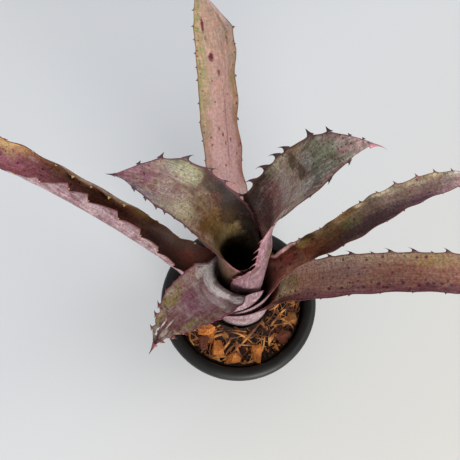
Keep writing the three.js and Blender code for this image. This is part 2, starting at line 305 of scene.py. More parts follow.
def leaf_finish(name, middle, left, right, margin=0.35, rim=DARK_PLUM, rim_width=0.05,
                mottle=(SAGE, 0.3), streak=(SILVER, 0.1), dots=((DARK_SPOT, 260.0, 0.3, 0.14, 0.0),),
                dabs=(), silver=(), cover=0.1, silver_colour=SILVER, roughness=0.5, depth=1.0,
                banded=0.0):
    """The living skin of one face of a leaf.

    middle, left and right: colours along the leaf, down its middle and its two margins
    margin, rim_width: how far in the margins' colours and the dark rim reach
    mottle, streak: a colour and an amount
    dots: (colour, scale, share, size, from how far out); below zero, on the right half only
    dabs: patches (across, along, half width, half length, colour, strength)
    silver: patches of the silvery scales, with no colour of their own; cover: scales all over
    banded: how far the scales lie in cross bands; depth: how strong hue, grain and ribs are
    """
    material, tree, shader = new_material(name)
    skin = node(tree, "UVMap", uv_map="skin").outputs[0]
    place_map = node(tree, "UVMap", uv_map="place").outputs[0]
    place = node(tree, "SeparateXYZ", {0: place_map})
    across, along = place.outputs[0], place.outputs[1]
    from_middle = calc(tree, "ABSOLUTE", across)
    fields = use_group(tree, FIELDS, {"Vector": skin}).outputs
    fine = fields["Fine"]

    wide = scale_add(tree, fields["Wander"], 0.9, from_middle)
    to_margin = fade(tree, wide, 1.0 - margin * 1.6, 1.0 - margin * 0.4)
    on_left = calc(tree, "GREATER_THAN", across, 0.0)
    edge_tone = mix(tree, on_left, tone_along(tree, along, right), tone_along(tree, along, left))
    shifted = scale_add(tree, fields["Wander"], 0.25, along)
    colour = mix(tree, to_margin, tone_along(tree, shifted, middle), edge_tone)

    lit = fade(tree, node(tree, "RGBToBW", {0: colour}).outputs[0], 0.01, 0.09)
    mottled = times(tree, fade(tree, fields["Mottle"], 0.46, 0.56), lit)
    colour = mix(tree, times(tree, mottled, mottle[1]), colour, mottle[0])
    streaked = times(tree, fade(tree, fields["Streak"], 0.46, 0.66), lit)
    colour = mix(tree, times(tree, streaked, streak[1]), colour, streak[0])
    mixed_field = scale_add(tree, fields["Mottle"], 0.6, times(tree, fine, 0.4))

    def patch(across_at, along_at, half_wide, half_long, strength):
        inputs = {"Place": place_map, "Centre": (across_at, along_at, 0),
                  "Size": (half_wide, half_long, 1), "Ragged": mixed_field}
        return times(tree, use_group(tree, DAB, inputs).outputs["Mask"], strength)

    for *spot, tone, strength in dabs:
        colour = mix(tree, patch(*spot, strength), colour, tone)

    hues = [(0.36, (0.86, 1, 0.8, 1)), (0.5, (1, 0.97, 1, 1)), (0.64, (1, 0.78, 0.86, 1))]
    hue = gradient(tree, fields["Hue"], hues)
    colour = mix(tree, 0.8 * depth, colour, hue, "MULTIPLY")
    grain = fade(tree, fine, 0.4, 0.6, 1 - 0.34 * depth, 1 + 0.16 * depth)
    ribs = fade(tree, fields["Lines"], 0.36, 0.62, 1 - 0.2 * depth, 1 + 0.08 * depth)
    colour = vector_calc(tree, "SCALE", {0: colour, "Scale": times(tree, grain, ribs)})

    for dot_colour, scale, share, size, from_out in dots:
        inputs = {"Vector": skin, "Scale": scale, "Share": share, "Size": size}
        dot_mask = use_group(tree, DOTS, inputs).outputs["Mask"]
        outward = from_middle if from_out >= 0 else times(tree, across, -1.0)
        allowed = fade(tree, outward, abs(from_out) - 0.2, abs(from_out) + 0.1)
        dot_mask = times(tree, dot_mask, allowed)
        colour = mix(tree, times(tree, dot_mask, 0.85), colour, dot_colour)

    covered = times(tree, fade(tree, fields["Wander"], -0.1, 0.2), times(tree, lit, cover))
    for spot in silver:
        covered = calc(tree, "MAXIMUM", covered, patch(*spot))
    flecks = plus(tree, times(tree, fields["Specks"], 1 - banded),
                  times(tree, fields["Bands"], banded))
    scales = times(tree, covered, scale_add(tree, flecks, 0.75, 0.25))
    colour = mix(tree, scales, colour, silver_colour)

    rim_mask = fade(tree, scale_add(tree, fields["Wander"], 0.08, from_middle),
                    1 - rim_width * 1.6, 1 - rim_width * 0.4)
    colour = mix(tree, times(tree, rim_mask, 0.85), colour, rim)

    rough = scale_add(tree, scales, 0.25, scale_add(tree, fine, 0.2, roughness - 0.1))
    height = scale_add(tree, fields["Lines"], 0.4, times(tree, scales, 0.3))
    height = plus(tree, height, times(tree, fields["Mottle"], 0.9))
    height = plus(tree, height, times(tree, fine, 0.35))
    finish_shader(tree, shader, colour, rough, height, bump_depth=0.0004, bump_strength=0.9)
    shader.inputs["Specular IOR Level"].default_value = LEAF_SHINE
    return material


def horn_finish(name, root_colour, point_colour):
    """A spine: the leaf's own colour at its root, dark or pale horn at its point."""
    material, tree, shader = new_material(name)
    place = node(tree, "SeparateXYZ", {0: node(tree, "UVMap", uv_map="place").outputs[0]})
    grain = cloud(tree, node(tree, "TexCoord").outputs["Object"], 2500.0)
    up = plus(tree, place.outputs[1], scale_add(tree, grain, 0.3, -0.15))
    colour = gradient(tree, up, [(0.05, root_colour), (0.5, point_colour)])
    rough = scale_add(tree, grain, 0.2, 0.3)
    finish_shader(tree, shader, colour, rough, grain, bump_depth=0.0001, bump_strength=0.5)
    return material


def leaf_finishes():
    """Each leaf's materials: upper face, under face, spines and, where it has them, pale spines."""
    dark_horn = horn_finish("spine_dark", rgb(72, 38, 42), rgb(26, 13, 15))
    red_horn = horn_finish("spine_red", rgb(128, 72, 70), rgb(78, 28, 32))
    tan_horn = horn_finish("spine_tan", rgb(96, 60, 40), rgb(206, 168, 104))
    pale_horn = horn_finish("spine_pale", rgb(146, 94, 104), rgb(128, 76, 84))
    sheath_tones = [(-1, rgb(122, 104, 106)), (-0.6, rgb(142, 126, 130)), (-0.4, rgb(128, 110, 116)),
                    (-0.2, rgb(112, 92, 98)), (0.05, rgb(108, 80, 88)), (0.5, rgb(124, 94, 102)),
                    (1, rgb(110, 76, 90))]
    speckles = ((rgb(96, 56, 66), 650.0, 0.5, 0.22, 0.0), (rgb(84, 44, 54), 300.0, 0.2, 0.16, 0.0))
    under = leaf_finish(
        "leaf_under", sheath_tones, sheath_tones, sheath_tones, mottle=(rgb(112, 76, 82), 0.4),
        streak=(rgb(196, 178, 178), 0.4), dots=speckles, cover=0.45, silver_colour=rgb(198, 182, 182),
        dabs=((0.62, -0.4, 0.12, 0.12, rgb(96, 58, 62), 0.6),
              (-0.75, -0.45, 0.16, 0.08, rgb(104, 66, 70), 0.6),
              (-0.3, -0.8, 0.2, 0.1, rgb(112, 72, 76), 0.5),
              (-0.9, -0.7, 0.08, 0.2, rgb(96, 58, 60), 0.5)),
        roughness=0.6, rim=rgb(110, 64, 70), rim_width=0.03, depth=0.8)
    outer = leaf_finish(
        "upper_right_under", [(-1, rgb(114, 88, 90)), (0, rgb(104, 76, 84)), (1, rgb(112, 84, 92))],
        [(-1, rgb(126, 104, 108)), (0.2, rgb(116, 88, 98)), (1, rgb(116, 86, 96))],
        [(-1, rgb(114, 84, 90)), (-0.1, rgb(104, 76, 84)), (0.08, rgb(112, 78, 92)),
         (0.18, rgb(130, 94, 108)), (0.3, rgb(150, 116, 126)), (1, rgb(116, 86, 96))],
        mottle=(rgb(86, 64, 60), 0.5), streak=(rgb(166, 134, 144), 0.45), dots=speckles,
        # The tones dip darker round the collar, and the two darkest patches just below it are painted
        # shade over the leaf's own mauve.
        dabs=((-0.6, 0.04, 0.18, 0.07, rgb(86, 70, 46), 0.75),
              (-0.85, -0.05, 0.12, 0.05, rgb(66, 36, 32), 0.8),
              (-0.4, -0.06, 0.25, 0.07, rgb(62, 38, 34), 0.7),
              (-0.95, 0.06, 0.05, 0.05, rgb(90, 56, 56), 0.6)),
        cover=0.25, silver_colour=rgb(186, 160, 160), roughness=0.6, rim=rgb(120, 70, 76),
        rim_width=0.03, depth=0.7)
    olive_outer = leaf_finish(
        "upper_left_under",
        [(-1, rgb(84, 62, 50)), (-0.3, rgb(64, 54, 36)), (0, rgb(84, 68, 46)), (1, rgb(110, 80, 92))],
        [(-1, rgb(110, 80, 72)), (-0.3, rgb(78, 60, 42)), (-0.05, rgb(96, 68, 56)),
         (0.1, rgb(112, 76, 72)), (1, rgb(110, 80, 92))],
        [(-1, rgb(110, 80, 72)), (0, rgb(96, 70, 56)), (1, rgb(110, 80, 92))],
        mottle=(rgb(66, 48, 36), 0.45), streak=(rgb(128, 104, 84), 0.35), dots=speckles, cover=0.1,
        silver_colour=rgb(170, 150, 140), roughness=0.6, rim=rgb(136, 84, 92), rim_width=0.06,
        depth=0.8)
    rolled = leaf_finish(
        "left_under", [(-1, rgb(118, 90, 90)), (0.2, rgb(126, 103, 105)), (1, rgb(126, 93, 103))],
        [(-1, rgb(118, 90, 90)), (0.2, rgb(130, 105, 108)), (0.5, rgb(130, 103, 108)),
         (1, rgb(128, 90, 105))],
        [(-1, rgb(150, 120, 70)), (0.3, rgb(150, 124, 64)), (0.6, rgb(140, 110, 60)),
         (1, rgb(180, 150, 110))],
        margin=0.5, mottle=(rgb(96, 64, 72), 0.55), streak=(rgb(196, 178, 180), 0.3), dots=speckles,
        cover=0.5, silver_colour=rgb(196, 180, 182), roughness=0.6, rim=rgb(96, 52, 50), rim_width=0.03,
        depth=0.9)
    rosy_sheath = [(-1, rgb(150, 90, 86)), (-0.4, rgb(214, 156, 156)), (-0.1, rgb(190, 120, 116))]
    finishes = {}
    finishes["leaf_upper_left"] = (leaf_finish(
        "upper_left_skin",
        # The middle goes near black towards the foot: painted shade of the deep cup.
        [(-1, PAINTED_SHADE_BLACK), (-0.3, PAINTED_SHADE_BLACK), (-0.1, rgb(110, 94, 50)), (0.08, rgb(70, 52, 18)),
         (0.3, rgb(74, 50, 18)), (0.5, rgb(84, 66, 56)), (0.7, rgb(108, 76, 84)),
         (0.85, rgb(124, 76, 94)), (1, rgb(120, 54, 82))],
        [(-1, UMBER), (0, rgb(126, 98, 62)), (0.3, rgb(94, 62, 48)), (0.6, rgb(116, 108, 94)),
         (1, rgb(90, 64, 104))],
        [(-1, UMBER), (-0.1, rgb(92, 80, 66)), (0.15, rgb(16, 6, 2)), (0.36, rgb(30, 2, 2)),
         (0.5, rgb(60, 40, 28)), (0.65, rgb(116, 124, 100)), (0.8, rgb(144, 108, 118)),
         (1, rgb(152, 82, 108))],
        margin=0.42, mottle=(rgb(134, 110, 84), 0.4), streak=(rgb(186, 176, 150), 0.18),
        dots=((DARK_SPOT, 300.0, 0.22, 0.15, 0.0), (rgb(70, 40, 36), 800.0, 0.35, 0.2, 0.0)),
        dabs=((-0.65, 0.57, 0.4, 0.1, rgb(138, 142, 100), 0.35),
              (0.5, 0.5, 0.4, 0.1, rgb(140, 132, 96), 0.4),
              (-0.75, 0.28, 0.5, 0.18, rgb(32, 20, 15), 0.9),
              (-0.4, 0.14, 0.4, 0.12, rgb(44, 30, 18), 0.8),
              (0.0, 0.0, 0.3, 0.06, rgb(74, 60, 34), 0.35),
              (-0.75, 0.02, 0.3, 0.16, rgb(26, 15, 11), 0.85),
              (-0.45, 0.34, 0.3, 0.06, rgb(78, 42, 30), 0.5)),
        silver=((-0.6, 0.6, 0.35, 0.12, 0.36), (0.35, 0.54, 0.5, 0.1, 0.3),
                (0.1, 0.68, 0.6, 0.07, 0.3)),
        cover=0.16, silver_colour=rgb(190, 184, 170), rim=DARK_PLUM), olive_outer, dark_horn)
    finishes["leaf_upper_right"] = (leaf_finish(
        "upper_right_skin",
        # The middle darkens to near black at the foot: painted shade of the deep cup.
        [(-1, PAINTED_SHADE_BLACK), (-0.3, UMBER), (0.0, rgb(216, 150, 144)), (0.22, rgb(130, 82, 80)),
         (0.4, rgb(152, 102, 94)), (0.55, rgb(160, 136, 116)), (0.68, rgb(80, 78, 68)),
         (0.8, rgb(94, 96, 78)), (0.9, rgb(126, 118, 108)), (1, rgb(158, 122, 130))],
        [(-1, UMBER), (0, rgb(76, 54, 32)), (0.32, rgb(46, 36, 22)), (0.44, rgb(196, 186, 154)),
         (0.6, rgb(130, 106, 80)), (0.75, rgb(80, 72, 48)), (0.9, rgb(148, 118, 118)),
         (1, rgb(166, 118, 124))],
        [(-1, ROSE), (0.0, rgb(120, 76, 74)), (0.2, rgb(74, 50, 46)), (0.4, rgb(230, 204, 190)),
         (0.65, rgb(134, 108, 100)), (0.9, rgb(102, 58, 52)), (1, rgb(120, 64, 70))],
        margin=0.3, mottle=(rgb(96, 74, 62), 0.45), streak=(rgb(178, 170, 162), 0.4),
        dots=((rgb(50, 28, 34), 620.0, 0.55, 0.2, 0.0), (rgb(44, 24, 28), 240.0, 0.15, 0.12, 0.0)),
        dabs=((0.42, 0.74, 0.5, 0.1, rgb(98, 104, 74), 0.55),
              (0.7, 0.56, 0.3, 0.04, rgb(82, 58, 32), 0.9),
              (0.3, 0.6, 0.3, 0.035, rgb(76, 54, 32), 0.9),
              (0.3, 0.62, 0.12, 0.05, rgb(82, 60, 44), 0.7),
              (0.4, 0.12, 0.9, 0.16, rgb(58, 42, 40), 0.7),
              (0.25, 0.88, 0.22, 0.07, rgb(150, 108, 116), 0.5)),
        silver=((0.2, 0.44, 0.7, 0.08, 0.6), (-0.3, 0.58, 0.4, 0.12, 0.65),
                (0.5, 0.66, 0.3, 0.05, 0.45)),
        cover=0.22, silver_colour=rgb(192, 184, 180), rim=rgb(84, 52, 46)), outer, dark_horn, pale_horn)
    finishes["leaf_lower_left"] = (leaf_finish(
        "lower_left_skin",
        # The middle goes near black towards the foot: painted shade of the deep cup.
        [(-1, PAINTED_SHADE_BLACK), (-0.35, PAINTED_SHADE_BLACK), (-0.16, rgb(96, 82, 74)), (0.1, rgb(172, 136, 140)),
         (0.28, rgb(120, 72, 82)), (0.45, rgb(122, 78, 88)), (0.68, rgb(104, 56, 58)),
         (0.85, rgb(82, 50, 34)), (1, rgb(56, 18, 8))],
        [(-1, UMBER), (0, rgb(4, 2, 2)), (0.35, rgb(122, 82, 72)), (0.5, rgb(96, 54, 32)),
         (0.8, rgb(122, 100, 66)), (1, rgb(14, 0, 2))],
        [(-1, UMBER), (0, rgb(254, 254, 254)), (0.25, rgb(170, 130, 114)), (0.5, rgb(106, 74, 66)),
         (0.8, rgb(114, 108, 52)), (1, rgb(38, 8, 4))],
        margin=0.45, mottle=(rgb(140, 112, 108), 0.4), streak=(rgb(168, 150, 146), 0.35),
        dots=((rgb(84, 40, 70), 460.0, 0.65, 0.24, 0.5), (rgb(96, 46, 72), 800.0, 0.5, 0.26, 0.0)),
        dabs=((-0.6, 0.03, 0.5, 0.07, rgb(246, 238, 234), 0.7),
              (0.15, 0.06, 0.6, 0.055, rgb(246, 238, 234), 0.7),
              (-0.72, 0.6, 0.4, 0.16, rgb(126, 114, 66), 0.7),
              (0.75, 0.66, 0.3, 0.14, rgb(128, 114, 74), 0.6),
              (0.1, 0.88, 0.35, 0.05, rgb(176, 160, 150), 0.7),
              (-0.4, 0.82, 0.08, 0.05, rgb(206, 196, 190), 0.8),
              (-0.05, 0.8, 0.06, 0.06, rgb(200, 188, 184), 0.8),
              (-0.1, 0.5, 0.5, 0.12, rgb(118, 66, 88), 0.6)),
        silver=((-0.6, 0.03, 0.5, 0.075, 1.0), (0.1, 0.06, 0.6, 0.06, 1.0), (0.8, 0.06, 0.3, 0.09, 0.7),
                (-0.2, 0.1, 0.7, 0.06, 0.8), (-0.7, 0.18, 0.2, 0.1, 0.6), (0.3, 0.22, 0.6, 0.08, 0.35)),
        cover=0.25, silver_colour=rgb(255, 250, 244), rim=rgb(110, 56, 72), banded=0.8),
        under, red_horn)
    finishes["leaf_right"] = (leaf_finish(
        "right_skin",
        # Near white in the middle at the collar, lighter than the leaf's own tan: painted light that
        # makes up for the shade in its channel there.
        [(-1, UMBER), (-0.3, rgb(120, 52, 32)), (-0.12, rgb(168, 72, 48)), (0.0, rgb(254, 236, 188)),
         (0.12, rgb(204, 156, 126)), (0.25, rgb(158, 122, 104)), (0.5, rgb(118, 74, 58)),
         (0.85, rgb(150, 106, 84)), (1, PLUM)],
        [(-1, UMBER), (0, rgb(236, 184, 172)), (0.3, rgb(158, 140, 120)), (0.6, rgb(134, 116, 80)),
         (1, PLUM)],
        [*rosy_sheath, (0.05, rgb(78, 52, 38)), (0.2, rgb(132, 76, 88)), (0.6, rgb(94, 50, 58)),
         (1, PLUM)],
        margin=0.45, mottle=(rgb(150, 108, 98), 0.35), streak=(rgb(176, 146, 130), 0.2),
        dots=((rgb(84, 28, 38), 230.0, 0.35, 0.15, 0.0), (rgb(70, 24, 40), 250.0, 0.75, 0.21, -0.35),
              (rgb(112, 64, 66), 1000.0, 0.5, 0.28, 0.0)),
        dabs=((0.1, 0.08, 0.5, 0.05, rgb(146, 130, 80), 0.6),
              (0.35, 0.33, 0.5, 0.08, rgb(132, 112, 110), 0.4),
              (0.6, 0.62, 0.4, 0.1, rgb(146, 122, 78), 0.5)),
        cover=0.12, silver_colour=rgb(196, 170, 164), rim=rgb(88, 50, 54)), under, dark_horn)
    finishes["leaf_right_back"] = (leaf_finish(
        "right_back_skin",
        [(-1, UMBER), (-0.1, rgb(164, 104, 90)), (0.08, rgb(116, 42, 40)), (0.2, rgb(92, 48, 20)),
         (0.35, rgb(70, 46, 16)), (0.5, rgb(86, 68, 62)), (0.7, rgb(120, 98, 92)),
         (0.85, rgb(132, 114, 112)), (1, ROSE)],
        [(-1, UMBER), (0.0, rgb(86, 28, 18)), (0.2, rgb(48, 30, 8)), (0.42, rgb(94, 72, 30)),
         (0.52, rgb(84, 74, 60)), (0.6, rgb(124, 114, 94)), (0.8, rgb(166, 150, 118)),
         (1, rgb(246, 254, 254))],
        [*rosy_sheath, (0.05, rgb(180, 116, 88)), (0.25, rgb(66, 18, 2)), (0.45, rgb(82, 62, 56)),
         (0.7, rgb(86, 52, 74)), (0.9, rgb(192, 158, 158)), (1, PLUM)],
        margin=0.55, mottle=(rgb(104, 76, 60), 0.4), streak=(rgb(168, 140, 120), 0.2),
        dots=((rgb(60, 24, 28), 230.0, 0.25, 0.15, 0.0), (rgb(70, 40, 44), 640.0, 0.4, 0.2, 0.0)),
        # The two cream patches near the left margin, half way out, are painted highlights on the
        # margin's rolled waves.
        dabs=((0.95, 0.47, 0.2, 0.02, rgb(176, 162, 132), 0.55),
              (0.92, 0.56, 0.22, 0.04, rgb(184, 170, 142), 0.55),
              (0.46, 0.25, 0.15, 0.012, rgb(44, 14, 12), 0.8),
              (0.14, 0.14, 0.16, 0.014, rgb(52, 14, 14), 0.85),
              (0.43, 0.04, 0.16, 0.016, rgb(48, 12, 14), 0.85),
              (-0.3, 0.09, 0.14, 0.012, rgb(58, 18, 18), 0.8),
              (0.1, -0.08, 0.16, 0.02, rgb(44, 12, 12), 0.8),
              (-0.1, 0.02, 0.13, 0.012, rgb(52, 16, 16), 0.8),
              (0.0, 0.42, 0.5, 0.05, rgb(78, 82, 42), 0.6),
              (0.55, 0.2, 0.35, 0.04, rgb(126, 104, 54), 0.45),
              (-0.5, 0.48, 0.5, 0.16, rgb(58, 36, 42), 0.7),
              (0.9, 0.06, 0.2, 0.14, rgb(224, 180, 176), 0.7)),
        cover=0.15, silver_colour=rgb(186, 168, 160), rim=rgb(92, 60, 52)), under, red_horn)
    finishes["leaf_back"] = (leaf_finish(
        "back_skin",
        [(-1, ROSE), (0, rgb(246, 190, 186)), (0.3, rgb(224, 182, 182)), (0.45, rgb(200, 160, 154)),
         (0.7, rgb(168, 138, 124)), (1, rgb(164, 142, 118))],
        [(-1, ROSE), (0.1, rgb(180, 133, 117)), (0.35, rgb(171, 138, 125)), (0.5, rgb(144, 138, 96)),
         (1, rgb(140, 138, 87))],
        [(-1, ROSE), (0.1, rgb(254, 254, 254)), (0.3, rgb(187, 127, 120)), (0.6, rgb(157, 136, 90)),
         (1, rgb(207, 179, 192))],
        margin=0.38, mottle=(rgb(206, 152, 134), 0.35), streak=(rgb(236, 190, 172), 0.3),
        dots=((rgb(128, 62, 70), 250.0, 0.22, 0.13, 0.0), (rgb(96, 54, 40), 300.0, 0.35, 0.16, 0.8)),
        dabs=((0.5, 0.817, 0.1, 0.034, MAGENTA_SPOT, 0.95),
              (0.28, 0.69, 0.15, 0.02, MAGENTA_SPOT, 0.95),
              (0.02, 0.63, 0.08, 0.014, rgb(120, 48, 66), 0.9),
              (0.44, 0.76, 0.08, 0.01, rgb(140, 84, 90), 0.7),
              (-0.62, 0.8, 0.1, 0.12, rgb(128, 106, 74), 0.6),
              (-0.12, 0.45, 0.06, 0.2, rgb(160, 110, 116), 0.6),
              (0.1, 0.42, 0.05, 0.01, MAGENTA_SPOT, 0.8), (0.0, 0.39, 0.05, 0.01, MAGENTA_SPOT, 0.8),
              (-0.3, 0.4, 0.05, 0.009, MAGENTA_SPOT, 0.7),
              (0.25, 0.44, 0.05, 0.009, MAGENTA_SPOT, 0.7)),
        cover=0.08, roughness=0.5, rim=rgb(118, 80, 54), rim_width=0.035, depth=0.5), under, red_horn)
    finishes["leaf_left"] = (leaf_finish(
        "left_skin",
        # Middle and margins are dark brown where the channel is deep and turn purple-pink where it
        # opens out: partly painted shade inside the channel, over the leaf's own reddish brown.
        [(-1, UMBER), (0, rgb(44, 22, 16)), (0.12, rgb(60, 33, 25)), (0.22, rgb(60, 33, 26)),
         (0.32, rgb(104, 58, 46)), (0.45, rgb(114, 66, 54)), (0.54, rgb(152, 94, 96)),
         (0.62, rgb(172, 106, 120)), (1, rgb(180, 112, 140))],
        [(-1, UMBER), (0.1, rgb(46, 24, 18)), (0.25, rgb(74, 40, 32)), (0.5, rgb(76, 42, 36)),
         (0.6, rgb(160, 92, 110)), (1, PLUM)],
        [(-1, UMBER), (0.02, rgb(66, 36, 30)), (0.1, rgb(46, 24, 16)), (0.28, rgb(58, 38, 22)),
         (0.4, rgb(134, 106, 56)), (0.52, rgb(150, 120, 64)), (0.62, rgb(158, 108, 76)),
         (0.7, rgb(206, 172, 120)), (1, rgb(210, 188, 130))],
        margin=0.5, mottle=(rgb(120, 70, 54), 0.35), streak=(rgb(170, 106, 92), 0.2),
        dots=((DARK_SPOT, 300.0, 0.3, 0.15, 0.0),),
        # The two near-black slits are painted shadow under the rolled margin.
        dabs=((-0.55, 0.64, 0.12, 0.02, rgb(214, 176, 172), 0.5),
              (-0.3, 0.1, 0.4, 0.05, rgb(70, 32, 24), 0.7), (-0.6, 0.43, 0.2, 0.02, PAINTED_SHADE_BLACK, 0.7),
              (-0.6, 0.53, 0.2, 0.018, PAINTED_SHADE_BLACK, 0.7)),
        cover=0.06, rim=rgb(58, 30, 26)), rolled, tan_horn)
    finishes["leaf_heart"] = (leaf_finish(
        "heart_skin", [(-1, UMBER), (0, rgb(150, 80, 70)), (1, rgb(206, 130, 126))],
        [(-1, UMBER), (1, ROSE)], [(-1, UMBER), (1, ROSE)], cover=0.2), under, red_horn)
    return finishes


# ------------------------------------------------------------------ leaf shapes

